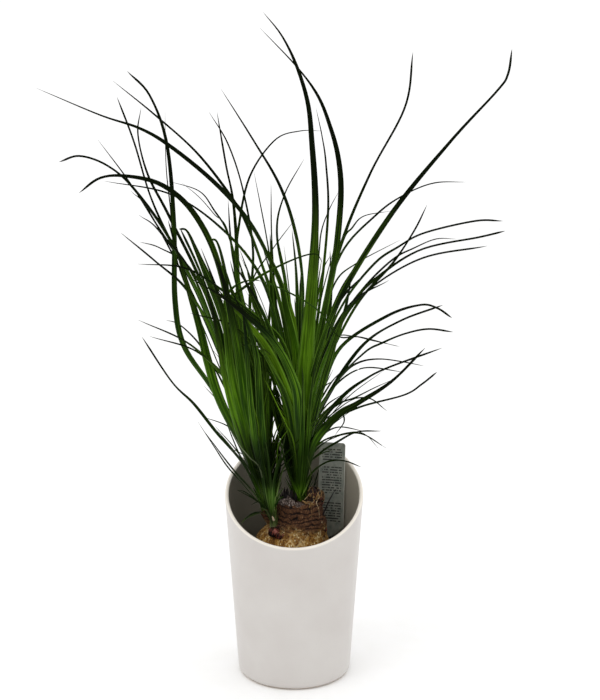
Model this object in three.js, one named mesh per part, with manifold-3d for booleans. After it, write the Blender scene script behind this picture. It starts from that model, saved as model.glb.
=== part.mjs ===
// Potted ponytail palm: a ceramic pot with a slanted rim, a grower's pot with soil inside it, a
// swollen caudex with two leafy heads and a small offset shoot, and a plain stick label.
// Millimetres, +Z up, the front at -Y, the origin under the middle of the pot.
import * as THREE from 'three';
import { mergeVertices } from 'three/addons/utils/BufferGeometryUtils.js';
import Module from 'manifold-3d';

const wasm = await Module();
wasm.setup();

const fullTurn = 2 * Math.PI;
// The gap that touching pieces keep
const seatGap = 0.3;

// Ceramic pot: a plain cone whose rim is cut on a slant, low in front and high at the back
const potBaseRadius = 57.5;
const potTopRadius = 73.5;
const potFrontHeight = 149;
const potBackHeight = 228;
const potWall = 4;
const potFloor = 7;
const potFootRound = 6;
const potInsideRound = 9;
const potSides = 60;
// Straight stretches in the round of the pot's foot, of its lip and of its inside corner
const potFootSteps = 3;
const potLipSteps = 6;
const potInsideSteps = 2;

// Grower's pot of thin plastic, standing on the floor of the ceramic one
const growerHeight = 120;
const growerBaseRadius = 43;
const growerTopRadius = 55;
const growerWall = 1.4;
const growerLipWidth = 3;
const growerLipHeight = 9;
const growerSides = 40;

// Soil level at the wall and where it meets the caudex
const soilEdgeHeight = 115;
const soilMiddleHeight = 119;

// Caudex: a swollen bulb half out of the soil, drawn in to a ringed neck that stands off to the right
const bulbCentre = new THREE.Vector2(-2.5, 0);
const neckCentre = new THREE.Vector2(6, 0);
const bulbBottom = 84;
const shoulderStart = 140;
const neckStart = 160;
const neckTop = 179;
const caudexSides = 32;
const neckRingPitch = 3.6;
const neckRingDepth = 0.7;
const neckRings = 7;
// Radius of the caudex at each level, from its buried foot to the cut top of the neck
const caudexProfile = [
  [bulbBottom, 0], [86, 14], [92, 25], [100, 33], [110, 38], [122, 40], [132, 39.2],
  [shoulderStart, 36.6], [147, 33], [153, 29], [neckStart, 25], [166, 23], [172, 22.2],
  [neckTop - 2, 21.5], [neckTop, 20],
];
const buriedLevels = [85.5, 87.5, 92, 98, 105, 113];
const openLevels = [122, 129, 136, 142, 147, 152];

// Knobs on the caudex: where each stands, its radius and how tall it is for its width. The first four
// are dry bracts beside the right head and the others dormant buds on the shoulder
const knobs = [
  [21, -4, 185, 8, 1.3], [25, 4, 181, 7, 1.2], [17, -11, 179, 6, 1], [13, 12, 180, 6, 1],
  [-20, -22, 152, 6, 0.9], [-14, -27, 150, 4.5, 0.9], [28, -5, 150, 5.5, 0.9],
];
const knobSides = 8;
const knobRows = 5;

// Leafy heads: where the growing core of each stands, its foot radius, top radius and height
const rightHead = { foot: new THREE.Vector3(6, 4, 174), footRadius: 6, topRadius: 9, height: 22 };
const leftHead = { foot: new THREE.Vector3(-27, 11, 163), footRadius: 6.5, topRadius: 8.5, height: 20 };
const offsetHead = { foot: new THREE.Vector3(-21, -13, 153), footRadius: 3.6, topRadius: 4, height: 14 };
const headSides = 10;
const headSwell = 1.12;
const headCrown = 4;

// The stub of bark that carries the left head: where it starts, and how far it stands round the head
const stubFoot = new THREE.Vector3(-12, 5, 150);
const stubSink = 5;
const stubTopCover = 3;
const stubFootCover = 6;
const stubSides = 14;

// Stick label of thin plastic: its face, its pointed foot, and how it stands in the soil and leans back
const labelWidth = 28;
const labelThickness = 0.9;
const labelTop = 230;
const labelFaceBottom = 141;
const labelFootTop = 129;
const labelPoint = 94;
const labelFootWidth = 9;
const labelFootShift = -6;
const labelPointRise = 12;
const labelCorner = 3;
const labelMiddle = new THREE.Vector3(38.5, 33, 150);
const labelPlacing = new THREE.Matrix4().makeTranslation(labelMiddle)
  .multiply(new THREE.Matrix4().makeRotationZ(-0.25))
  .multiply(new THREE.Matrix4().makeRotationX(-0.1))
  .multiply(new THREE.Matrix4().makeTranslation(0, 0, -labelMiddle.z));

// Blades: keel depth under the flat face, half the width of the tip, the share of the width at the
// root, the length over which it opens, and how slowly it tapers
const bladeKeel = 0.9;
const bladeKeelShare = 0.22;
const bladeTipHalfWidth = 0.5;
const bladeRootShare = 0.72;
const bladeOpening = 0.15;
const bladeTaper = 0.6;
// Where a blade starts in its core: out from the middle, and up
const rootOut = 0.4;
const rootUp = 0.3;
// The length of one straight stretch of a blade, which is longer on a narrow one
const bladeStep = 44;
const narrowBlade = 6;
const narrowBladeStep = 62;
const fewestSteps = 4;
const mostSteps = 11;

// Keeping a blade clear of the other heads, the rim and the label: the samples along it, how near two
// samples come before they are measured, the gap kept, and the steps in depth and in turn that are tried
const bladeSamples = 64;
const bladeNearby = 16;
const bladeClearance = 3.4;
const depthStep = 12;
const turnStep = THREE.MathUtils.degToRad(4);
const placeTries = 31;
const rimSamples = 96;
const rimSampleStep = 6;
const labelSampleStep = 4;

// The leaves are set out on a tilted sheet, as they are seen from a spot in front of the plant, and
// each is then moved along that line of sight to its depth
const lookFrom = new THREE.Vector3(6, -1100, 500);
const sheetMiddle = new THREE.Vector3(6, 0, 334);
const sheetAcross = new THREE.Vector3(1, 0, 0);
const lookAlong = new THREE.Vector3().subVectors(sheetMiddle, lookFrom).normalize();
const sheetUp = new THREE.Vector3().crossVectors(sheetAcross, lookAlong);
// How late a leaf leaves the depth of its head for that of its tip
const depthLag = 1.2;

// Each leaf: its width, its twist in degrees, the depth of its tip and its marks (across, up) from its
// foot to its tip
const rightLeaves = [
  [13, 10, -60, [9, 244], [8, 294], [9, 325], [13, 360], [17, 404], [21, 454], [21, 494], [18, 540],
    [14, 580], [3, 617], [-12, 648], [-31, 672]],
  [13, 15, 40, [9, 244], [16, 296], [20, 318], [26, 352], [39, 414], [44, 450], [47, 494], [44, 528],
    [36, 558], [24, 588], [3, 617], [-34, 656]],
  [4, 20, 80, [12, 284], [26, 384], [34, 470], [32, 520], [28, 548], [22, 576]],
  [9, 50, -40, [12, 254], [24, 344], [46, 436], [76, 510], [111, 577], [119, 632]],
  [10, 50, -80, [14, 254], [28, 324], [44, 382], [96, 468], [156, 542], [203, 593], [214, 610], [218, 635]],
  [4, 20, 60, [12, 264], [28, 364], [48, 440], [58, 456], [70, 468], [97, 473]],
  [6, 25, 110, [14, 264], [26, 354], [46, 428], [82, 469], [110, 489], [140, 501], [172, 502]],
  [4, 20, 40, [16, 284], [28, 354], [41, 401], [63, 421], [106, 444]],
  [7, 35, -60, [18, 284], [41, 339], [66, 384], [98, 420], [120, 453], [133, 479]],
  [8, 50, -60, [16, 284], [30, 339], [52, 385], [81, 421], [104, 437], [130, 451], [181, 463], [209, 463]],
  [9, 60, 30, [18, 284], [38, 344], [57, 379], [80, 404], [126, 434], [186, 447], [211, 453]],
  [5, 20, 150, [20, 294], [42, 354], [68, 394], [98, 424], [120, 436], [142, 445], [162, 445]],
  [7, 50, -130, [20, 289], [44, 354], [71, 391], [126, 425], [193, 438]],
  [9, 60, -90, [12, 244], [28, 294], [47, 337], [93, 368], [126, 379], [143, 376], [158, 366]],
  [10, 65, 60, [14, 244], [36, 292], [69, 339], [106, 363], [149, 379]],
  [8, 60, -20, [16, 249], [41, 300], [70, 331], [88, 341], [110, 350], [134, 355], [159, 352]],
  [10, 60, 90, [14, 229], [27, 262], [50, 289], [70, 304], [93, 316], [148, 336]],
  [6, 25, 130, [14, 239], [31, 284], [50, 311], [66, 322], [86, 325], [110, 322], [130, 318]],
  [7, 60, -110, [18, 239], [37, 262], [66, 277], [110, 289], [128, 300], [143, 312]],
  [12, 110, -120, [19, 236], [33, 258], [48, 272], [64, 281], [98, 303], [131, 336]],
  [6, 30, -50, [14, 239], [28, 268], [48, 282], [74, 286], [93, 273]],
  [6, 30, -70, [12, 222], [26, 241], [46, 249], [68, 250], [92, 236]],
  [7, 35, -30, [14, 218], [26, 231], [43, 242], [63, 252], [87, 253]],
  [5, 30, 10, [12, 222], [22, 239], [31, 251], [46, 257], [69, 253]],
  [6, 35, -35, [14, 205], [23, 216], [36, 223], [51, 223], [67, 217]],
  [4, 25, -60, [18, 239], [36, 259], [47, 270], [50, 262], [41, 249]],
  [12, 15, 80, [3, 264], [-3, 334], [-9, 384], [-24, 424], [-46, 464], [-80, 502], [-124, 538],
    [-155, 556], [-194, 569], [-258, 596]],
  [8, 25, -60, [1, 264], [-9, 334], [-26, 400], [-44, 452], [-60, 483], [-96, 530], [-139, 569],
    [-181, 603]],
  [9, 20, 20, [8, 284], [8, 347], [9, 397], [2, 449], [-14, 498], [-42, 546], [-73, 595]],
  [4, 25, -90, [4, 284], [-6, 384], [-17, 449], [-10, 488], [10, 525]],
  [5, 15, -30, [2, 264], [-16, 364], [-22, 439], [-23, 500]],
  [5, 15, 100, [-4, 284], [-20, 384], [-26, 438], [-40, 512]],
  [7, 25, -100, [0, 264], [-16, 354], [-36, 412], [-74, 457], [-124, 490], [-190, 503]],
  [8, 25, -120, [3, 254], [-3, 314], [-14, 346], [-36, 366], [-72, 394], [-109, 416], [-156, 420]],
  [12, 10, -90, [3, 234], [-6, 284], [-20, 324], [-32, 364], [-54, 414]],
  [12, 10, -50, [5, 234], [1, 294], [-5, 354], [-9, 404], [-16, 444]],
  [9, 15, 60, [-4, 214], [-9, 240], [-14, 258], [-19, 275], [-32, 312], [-39, 330], [-48, 352]],
  [13, 5, -85, [3, 222], [2, 236], [1, 250], [-3, 272], [-10, 292], [-17, 307], [-34, 338], [-44, 352]],
  [11, 20, -100, [12, 234], [24, 284], [38, 334], [51, 374], [58, 412]],
  [10, 10, 110, [6, 234], [6, 304], [4, 364], [2, 414], [-2, 454]],
  [12, 15, 90, [9, 234], [22, 294], [32, 344], [37, 394], [36, 434]],
];
const leftLeaves = [
  [10, 120, -30, [-53, 242], [-81, 294], [-110, 338], [-119, 384], [-120, 459], [-127, 539],
    [-144, 588], [-167, 613]],
  [6, 20, 90, [-44, 244], [-82, 354], [-109, 414], [-139, 462], [-166, 504], [-196, 544]],
  [8, 60, -90, [-42, 244], [-79, 354], [-122, 441], [-159, 494], [-186, 518], [-214, 528], [-235, 522]],
  [12, 70, -50, [-39, 229], [-51, 279], [-61, 334], [-68, 389], [-82, 438], [-105, 477],
    [-134, 500], [-168, 508], [-194, 506], [-215, 491]],
  [8, 50, 50, [-44, 244], [-89, 374], [-124, 444], [-144, 489], [-160, 542], [-177, 587]],
  [7, 20, 120, [-44, 244], [-86, 384], [-124, 466], [-146, 509], [-156, 549], [-153, 576]],
  [4, 20, 140, [-46, 254], [-94, 374], [-144, 471], [-163, 493]],
  [4, 20, -130, [-48, 254], [-94, 394], [-134, 452], [-155, 469]],
  [7, 25, -100, [-48, 244], [-79, 344], [-107, 394], [-139, 423], [-173, 451]],
  [5, 20, 60, [-46, 254], [-79, 364], [-104, 416], [-134, 436], [-154, 442]],
  [9, 80, -20, [-42, 244], [-69, 354], [-88, 408], [-98, 434], [-107, 453], [-115, 455]],
  [10, 90, 0, [-37, 229], [-51, 284], [-60, 334], [-65, 374], [-69, 412], [-77, 442], [-86, 443]],
  [4, 20, 90, [-46, 244], [-74, 306], [-94, 339], [-114, 359], [-128, 364]],
  [7, 70, -60, [-50, 219], [-77, 251], [-100, 280], [-122, 302], [-152, 347]],
  [5, 20, 90, [-36, 254], [-48, 334], [-58, 414], [-55, 459], [-44, 508], [-19, 544], [6, 553],
    [28, 553]],
  [6, 20, -40, [-32, 234], [-40, 304], [-44, 374], [-41, 434], [-51, 494], [-66, 540], [-85, 572]],
  [9, 40, 60, [-34, 234], [-46, 304], [-55, 374], [-57, 434], [-61, 484], [-68, 519], [-77, 572]],
  [4, 20, 70, [-36, 264], [-54, 400], [-66, 450], [-80, 474], [-95, 493], [-126, 503]],
  [6, 25, -110, [-44, 244], [-64, 334], [-68, 386], [-42, 404], [-6, 392], [26, 372], [44, 348],
    [66, 347], [106, 337]],
  [6, 25, -95, [-42, 244], [-62, 334], [-66, 378], [-44, 401], [-19, 416], [6, 427], [22, 430],
    [28, 422]],
  [14, 110, -60, [-51, 235], [-74, 284], [-86, 322], [-94, 355], [-105, 393], [-113, 420], [-126, 464]],
  [12, 60, -80, [-44, 234], [-58, 284], [-68, 329], [-77, 364], [-87, 394], [-98, 422], [-114, 456]],
  [11, 100, -20, [-40, 234], [-56, 304], [-68, 360], [-80, 398], [-97, 432]],
  [13, 20, -75, [-43, 232], [-52, 265], [-58, 290], [-61, 320], [-63, 354], [-69, 390], [-79, 425]],
  [10, 10, 110, [-34, 234], [-42, 304], [-50, 374], [-62, 434], [-66, 484]],
  [10, 15, 100, [-30, 234], [-32, 294], [-32, 354], [-40, 394], [-54, 434]],
  [10, 10, 60, [-28, 234], [-26, 284], [-28, 334], [-24, 374], [-22, 414]],
  [11, 10, -60, [-33, 234], [-40, 284], [-46, 334], [-54, 384], [-64, 424]],
];
const offsetLeaves = [
  [6, 10, -45, [-29, 190], [-33, 224], [-40, 271], [-46, 300]],
  [5, 15, -30, [-25, 217], [-29, 244], [-32, 268]],
  [3, 20, -45, [-27, 171], [-35, 172], [-44, 169], [-53, 160]],
  [4, 20, -42, [-30, 176], [-38, 184], [-57, 194]],
  [4, 20, -55, [-36, 186], [-62, 216], [-90, 253]],
  [4, 15, -40, [-20, 200], [-14, 226], [-8, 250]],
  [4, 15, -2, [-30, 205], [-40, 236], [-52, 262]],
];

// Leaves that fill each head to the front and the back: how many, the seed of their draws, how far
// out and up their tips reach, and the angle over which they spread on each side
const rightFill = { count: 14, seed: 4711, reach: 150, rise: 300 };
const leftFill = { count: 14, seed: 2203, reach: 140, rise: 280 };
const offsetFill = { count: 4, seed: 253, reach: 30, rise: 80 };
const fillSpread = THREE.MathUtils.degToRad(110);
const fillArch = 1.7;
// Their lowest and highest shares of that reach and rise, droop, width for their rise, and twist
const fillReaches = [0.5, 1.2];
const fillRises = [0.65, 1.05];
const fillDroops = [0.12, 0.4];
const fillWidths = [0.024, 0.034];
const fillTwists = [-20, 20];

function finish(color, roughness) {
  return new THREE.MeshStandardMaterial({ color, roughness, metalness: 0 });
}

const glazedWhite = finish(0xe8e4df, 0.28);
const blackPlastic = finish(0x1e1f20, 0.55);
const pottingSoil = finish(0x3a2a1e, 0.95);
const corkyBark = finish(0x7a5c3c, 0.85);
const leafGreen = finish(0x2f4f18, 0.5);
const shootGreen = finish(0x4b6a24, 0.5);
const labelGrey = finish(0x5a645e, 0.5);

// A closed solid from rings of points: the first and last rings are single points
function ringSolid(firstPole, rings, lastPole, sides) {
  const positions = [firstPole, lastPole].flatMap((pole) => pole.toArray());
  for (const ring of rings) {
    for (let i = 0; i < sides; i += 1) positions.push(...ring((fullTurn * i) / sides).toArray());
  }
  const corner = (row, i) => 2 + row * sides + (i % sides);
  const index = [];
  const lastRow = rings.length - 1;
  for (let i = 0; i < sides; i += 1) {
    index.push(0, corner(0, i + 1), corner(0, i));
    index.push(1, corner(lastRow, i), corner(lastRow, i + 1));
    for (let row = 0; row < lastRow; row += 1) {
      index.push(corner(row, i), corner(row, i + 1), corner(row + 1, i + 1));
      index.push(corner(row, i), corner(row + 1, i + 1), corner(row + 1, i));
    }
  }
  const geometry = new THREE.BufferGeometry();
  geometry.setAttribute('position', new THREE.Float32BufferAttribute(positions, 3));
  geometry.setIndex(index);
  return geometry;
}

// A round ring about an axis at x, y, at one height
function roundRing(radius, height, x = 0, y = 0) {
  return (angle) => new THREE.Vector3(x + radius * Math.cos(angle), y + radius * Math.sin(angle), height);
}

const pole = (height, x = 0, y = 0) => new THREE.Vector3(x, y, height);

function toSolid(geometry) {
  const bare = geometry.clone();
  bare.deleteAttribute('normal');
  bare.deleteAttribute('uv');
  const merged = mergeVertices(bare, 1e-4);
  const vertProperties = new Float32Array(merged.attributes.position.array);
  const triVerts = new Uint32Array(merged.index.array);
  return new wasm.Manifold(new wasm.Mesh({ numProp: 3, vertProperties, triVerts }));
}

function toGeometry(solid) {
  const mesh = solid.getMesh();
  const geometry = new THREE.BufferGeometry();
  geometry.setAttribute('position', new THREE.BufferAttribute(new Float32Array(mesh.vertProperties), 3));
  geometry.setIndex(new THREE.BufferAttribute(new Uint32Array(mesh.triVerts), 1));
  return geometry;
}

// The outer skin of a fused body: hollows that the fusing sealed and loose scraps are left out
function outerSkin(geometry) {
  const { index, attributes: { position } } = geometry;
  const group = Array.from({ length: position.count }, (_, i) => i);
  const find = (i) => {
    while (group[i] !== i) {
      group[i] = group[group[i]];
      i = group[i];
    }
    return i;
  };
  for (let i = 0; i < index.count; i += 3) {
    const root = find(index.getX(i));
    group[find(index.getX(i + 1))] = root;
    group[find(index.getX(i + 2))] = root;
  }
  const volumes = new Map();
  const corner = (i) => new THREE.Vector3().fromBufferAttribute(position, index.getX(i));
  for (let i = 0; i < index.count; i += 3) {
    const volume = corner(i).dot(corner(i + 1).cross(corner(i + 2))) / 6;
    const root = find(index.getX(i));
    volumes.set(root, (volumes.get(root) ?? 0) + volume);
  }
  const largest = [...volumes].reduce((best, entry) => (entry[1] > best[1] ? entry : best))[0];
  const kept = [];
  for (let i = 0; i < index.count; i += 3) {
    if (find(index.getX(i)) === largest) kept.push(index.getX(i), index.getX(i + 1), index.getX(i + 2));
  }
  geometry.setIndex(kept);
  geometry.deleteAttribute('normal');
  return mergeVertices(geometry, 1e-5);
}

function namedMesh(name, geometry, material) {
  geometry.computeVertexNormals();
  const mesh = new THREE.Mesh(geometry, material);
  mesh.name = name;
  return mesh;
}

// The ceramic pot
const potFlare = (potTopRadius - potBaseRadius) / potBackHeight;
const potOuterRadius = (height) => potBaseRadius + potFlare * height;
const rimDepth = potOuterRadius(potBackHeight) + potOuterRadius(potFrontHeight);
const rimSlope = (potBackHeight - potFrontHeight) / rimDepth;
const rimMiddle = potFrontHeight + rimSlope * potOuterRadius(potFrontHeight);

function rimHeight(angle) {
  const towardsBack = Math.sin(angle);
  return (rimMiddle + rimSlope * potBaseRadius * towardsBack) / (1 - rimSlope * potFlare * towardsBack);
}

// A point of the pot's wall, so far in from its outside and so far under the slanted rim
function rimPoint(angle, inwards, below) {
  const height = rimHeight(angle) - rimSlope * inwards * Math.sin(angle) - below;
  const radius = potOuterRadius(height) - inwards;
  return new THREE.Vector3(radius * Math.cos(angle), radius * Math.sin(angle), height);
}

function potGeometry() {
  const rings = [];
  for (let step = 0; step <= potFootSteps; step += 1) {
    const angle = (Math.PI / 2) * (step / potFootSteps);
    const height = potFootRound * (1 - Math.cos(angle));
    rings.push(roundRing(potOuterRadius(height) - potFootRound * (1 - Math.sin(angle)), height));
  }
  const lipRadius = potWall / 2;
  for (let step = 0; step <= potLipSteps; step += 1) {
    const turn = Math.PI * (step / potLipSteps);
    const inwards = lipRadius * (1 - Math.cos(turn));
    const below = lipRadius * (1 - Math.sin(turn));
    rings.push((angle) => rimPoint(angle, inwards, below));
  }
  const insideRadius = (height) => potOuterRadius(height) - potWall;
  for (let step = 0; step <= potInsideSteps; step += 1) {
    const angle = (Math.PI / 2) * (step / potInsideSteps);
    const height = potFloor + potInsideRound * (1 - Math.sin(angle));
    rings.push(roundRing(insideRadius(height) - potInsideRound * (1 - Math.cos(angle)), height));
  }
  return ringSolid(pole(0), rings, pole(potFloor), potSides);
}

// The grower's pot
const growerFoot = potFloor + seatGap;
const growerRim = growerFoot + growerHeight;

function growerRadius(height) {
  return THREE.MathUtils.mapLinear(height, growerFoot, growerRim, growerBaseRadius, growerTopRadius);
}

function growerGeometry() {
  const lipFoot = growerRim - growerLipHeight;
  const floorTop = growerFoot + growerWall;
  const rings = [
    roundRing(growerRadius(growerFoot), growerFoot),
    roundRing(growerRadius(lipFoot), lipFoot),
    roundRing(growerRadius(lipFoot) + growerLipWidth, lipFoot),
    roundRing(growerRadius(growerRim) + growerLipWidth, growerRim),
    roundRing(growerRadius(growerRim) - growerWall, growerRim),
    roundRing(growerRadius(floorTop) - growerWall, floorTop),
  ];
  return ringSolid(pole(growerFoot), rings, pole(floorTop), growerSides);
}

// The caudex: rings of one bark-covered body
function caudexRadius(height) {
  const above = Math.max(1, caudexProfile.findIndex(([level]) => level >= height));
  const [lowLevel, lowRadius] = caudexProfile[above - 1];
  const [highLevel, highRadius] = caudexProfile[above];
  return THREE.MathUtils.mapLinear(height, lowLevel, highLevel, lowRadius, highRadius);
}

function caudexPoint(angle, height, grow) {
  const neckShare = THREE.MathUtils.smoothstep(height, shoulderStart, neckStart);
  const { x, y } = new THREE.Vector2().lerpVectors(bulbCentre, neckCentre, neckShare);
  const lumps = 1 + 0.014 * Math.sin(3 * angle + 1) + 0.01 * Math.sin(7 * angle + height * 0.05);
  const ring = neckShare * neckRingDepth * Math.cos((fullTurn * (neckTop - height)) / neckRingPitch);
  return roundRing(caudexRadius(height) * lumps + ring + grow, height, x, y)(angle);
}

function caudexRings(levels, grow) {
  return levels.map((height) => (angle) => caudexPoint(angle, height, grow));
}

// A small knob of bark or scales, pressed to an egg shape
function knob(x, y, z, radius, squash) {
  const ball = new THREE.SphereGeometry(radius, knobSides, knobRows);
  ball.rotateX(Math.PI / 2);
  ball.scale(1, 1, squash);
  ball.translate(x, y, z);
  return toSolid(ball);
}

// The core of a leafy head, wider at its top, from which its leaves grow
function coreGeometry(head, grow = 0) {
  const { x, y, z } = head.foot;
  const rings = [
    roundRing(head.footRadius + grow, z - grow, x, y),
    roundRing(head.footRadius * headSwell + grow, z + head.height * 0.2, x, y),
    roundRing(head.topRadius + grow, z + head.height, x, y),
  ];
  const top = z + head.height + headCrown + grow;
  return ringSolid(pole(z - grow, x, y), rings, pole(top, x, y), headSides);
}

// The stub: a tapered cylinder from the shoulder to the foot of the left head
function stubGeometry() {
  const top = leftHead.foot.clone();
  top.z += stubSink;
  const axis = new THREE.Vector3().subVectors(top, stubFoot);
  const topRadius = leftHead.footRadius + stubTopCover;
  const footRadius = leftHead.footRadius + stubFootCover;
  const stub = new THREE.CylinderGeometry(topRadius, footRadius, axis.length(), stubSides);
  stub.translate(0, axis.length() / 2, 0);
  const upright = new THREE.Vector3(0, 1, 0);
  stub.applyQuaternion(new THREE.Quaternion().setFromUnitVectors(upright, axis.normalize()));
  return stub.translate(stubFoot.x, stubFoot.y, stubFoot.z);
}

function caudexGeometry() {
  const levels = [...buriedLevels, ...openLevels];
  for (let ring = 2 * neckRings; ring >= 0; ring -= 1) levels.push(neckTop - (neckRingPitch * ring) / 2);
  const body = ringSolid(
    pole(bulbBottom, bulbCentre.x, bulbCentre.y), caudexRings(levels, 0),
    pole(neckTop - 0.6, neckCentre.x, neckCentre.y), caudexSides,
  );
  let solid = toSolid(body).add(toSolid(stubGeometry()));
  for (const [x, y, z, radius, squash] of knobs) solid = solid.add(knob(x, y, z, radius, squash));
  for (const head of [rightHead, leftHead, offsetHead]) {
    solid = solid.subtract(toSolid(coreGeometry(head, seatGap)));
  }
  return toGeometry(solid);
}

// The label: a face with round corners over a pointed foot
function labelGeometry(grow = 0) {
  const half = labelWidth / 2 + grow;
  const footLeft = labelFootShift - labelFootWidth / 2 - grow;
  const footRight = labelFootShift + labelFootWidth / 2 + grow;
  const outline = new THREE.Shape();
  outline.moveTo(labelFootShift, labelPoint - grow);
  outline.lineTo(footRight, labelPoint + labelPointRise);
  outline.lineTo(footRight, labelFootTop);
  outline.lineTo(half, labelFaceBottom);
  outline.lineTo(half, labelTop - labelCorner);
  outline.absarc(half - labelCorner, labelTop - labelCorner, labelCorner, 0, Math.PI / 2);
  outline.absarc(labelCorner - half, labelTop - labelCorner, labelCorner, Math.PI / 2, Math.PI);
  outline.lineTo(-half, labelFaceBottom);
  outline.lineTo(footLeft, labelFootTop);
  outline.lineTo(footLeft, labelPoint + labelPointRise);
  outline.closePath();
  const depth = labelThickness + 2 * grow;
  const geometry = new THREE.ExtrudeGeometry(outline, { depth, bevelEnabled: false, curveSegments: 4 });
  geometry.translate(0, 0, -depth / 2);
  geometry.rotateX(Math.PI / 2);
  return geometry.applyMatrix4(labelPlacing);
}

// The soil fills the grower's pot round the buried part of the caudex
function soilGeometry() {
  const soilFoot = growerFoot + growerWall + seatGap;
  const polygonShare = Math.cos(Math.PI / growerSides);
  const wallRadius = (height) => (growerRadius(height) - growerWall) * polygonShare - seatGap;
  const topRing = (share) => (angle) => {
    const uneven = 0.9 * Math.sin(5 * angle + 1.3) + 0.6 * Math.sin(11 * angle);
    const outer = roundRing(wallRadius(soilEdgeHeight), soilEdgeHeight + uneven)(angle);
    const inner = caudexPoint(angle, soilMiddleHeight, seatGap);
    return outer.lerp(inner, share);
  };
  const rings = [
    roundRing(wallRadius(soilFoot), soilFoot),
    topRing(0),
    topRing(0.35),
    topRing(0.7),
    ...caudexRings([soilMiddleHeight, ...buriedLevels.toReversed()], seatGap),
  ];
  const lastPole = pole(bulbBottom - seatGap, bulbCentre.x, bulbCentre.y);
  const body = ringSolid(pole(soilFoot), rings, lastPole, caudexSides);
  return toGeometry(toSolid(body).subtract(toSolid(labelGeometry(seatGap))));
}

// A point of the tilted sheet, moved along the line of sight to a depth
function seen(across, up, depth) {
  const point = sheetMiddle.clone();
  point.addScaledVector(sheetAcross, across - sheetMiddle.x);
  point.addScaledVector(sheetUp, up - sheetMiddle.z);
  const stretch = (depth - lookFrom.y) / (point.y - lookFrom.y);
  return point.sub(lookFrom).multiplyScalar(stretch).add(lookFrom);
}

// A centreline through its points, from its root inside the core on the side that it leaves by
function leafCurve(head, points) {
  const root = points[0].clone().sub(head.foot).setZ(0).setLength(head.footRadius * rootOut);
  root.add(head.foot);
  root.z += head.height * rootUp;
  return new THREE.CatmullRomCurve3([root, ...points], false, 'catmullrom', 0.5);
}

// The centreline of a leaf given by its marks, which drifts to its tip's depth along its length
function listedCurve(head, tipDepth, marks) {
  const places = [[head.foot.x, head.foot.z], ...marks];
  const runs = [0];
  for (let i = 1; i < places.length; i += 1) {
    runs.push(runs[i - 1] + Math.hypot(places[i][0] - places[i - 1][0], places[i][1] - places[i - 1][1]));
  }
  const points = marks.map(([across, up], i) => {
    const share = runs[i + 1] / runs[marks.length];
    return seen(across, up, THREE.MathUtils.lerp(head.foot.y, tipDepth, share ** depthLag));
  });
  return leafCurve(head, points);
}

// The centreline of a filling leaf, which arches out from its head
function fillingCurve(head, azimuth, reach, rise, droop) {
  const points = [0.25, 0.5, 0.75, 1].map((t) => {
    const out = reach * t ** fillArch;
    const up = head.height + rise * (t - droop * t ** 3);
    return new THREE.Vector3(out * Math.cos(azimuth), out * Math.sin(azimuth), up).add(head.foot);
  });
  return leafCurve(head, points);
}

// Half the width of a blade along its length: full in its lower part, then a long taper to a fine tip
function halfWidth(width, t) {
  const opening = THREE.MathUtils.lerp(bladeRootShare, 1, Math.min(1, t / bladeOpening));
  return Math.max(bladeTipHalfWidth, 0.5 * width * opening * (1 - t) ** bladeTaper);
}

// The frame of a blade at t: its place, and the directions of its width and its face
function bladeFrame(blade, t) {
  const place = blade.curve.getPoint(t);
  const ahead = blade.curve.getPoint(Math.min(1, t + 0.005));
  const along = ahead.sub(blade.curve.getPoint(Math.max(0, t - 0.005))).normalize();
  const side = blade.side.clone();
  side.addScaledVector(along, -side.dot(along)).normalize();
  const face = new THREE.Vector3().crossVectors(along, side);
  const turn = blade.twist * t;
  const width = side.multiplyScalar(Math.cos(turn)).addScaledVector(face, Math.sin(turn));
  const normal = new THREE.Vector3().crossVectors(along, width);
  return { place, width, normal };
}

// A blade, twisted so that its face turns to the front, with the samples by which it is kept clear
function makeBlade(head, curve, width, twistDegrees) {
  const away = curve.points.at(-1).clone().sub(head.foot);
  const side = new THREE.Vector3(-away.y, away.x, 0).normalize();
  const twist = THREE.MathUtils.degToRad(twistDegrees) * Math.sign(away.x * away.y);
  const blade = { head, curve, width, side, twist };
  blade.samples = [];
  for (let i = 0; i <= bladeSamples; i += 1) {
    const t = i / bladeSamples;
    const frame = bladeFrame(blade, t);
    blade.samples.push({ place: frame.place, reach: frame.width.multiplyScalar(halfWidth(width, t)) });
  }
  return blade;
}

function tooClose(samples, others) {
  const between = new THREE.Vector3();
  for (const one of samples) {
    for (const other of others) {
      between.subVectors(other.place, one.place);
      const distance = between.length();
      if (distance > bladeNearby) continue;
      const reaches = Math.abs(between.dot(one.reach)) + Math.abs(between.dot(other.reach));
      if (distance < reaches / distance + bladeClearance) return true;
    }
  }
  return false;
}

// What every leaf keeps clear of: the rim of the pot and the label
function obstacleSamples() {
  const samples = [];
  const reach = new THREE.Vector3();
  for (let i = 0; i < rimSamples; i += 1) {
    for (const inwards of [0, potWall]) {
      for (const below of [0, rimSampleStep, 2 * rimSampleStep]) {
        samples.push({ place: rimPoint((fullTurn * i) / rimSamples, inwards, below), reach });
      }
    }
  }
  for (let height = labelFaceBottom; height <= labelTop; height += labelSampleStep) {
    for (let across = -labelWidth / 2; across <= labelWidth / 2; across += labelSampleStep) {
      samples.push({ place: new THREE.Vector3(across, 0, height).applyMatrix4(labelPlacing), reach });
    }
  }
  return samples;
}

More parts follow.
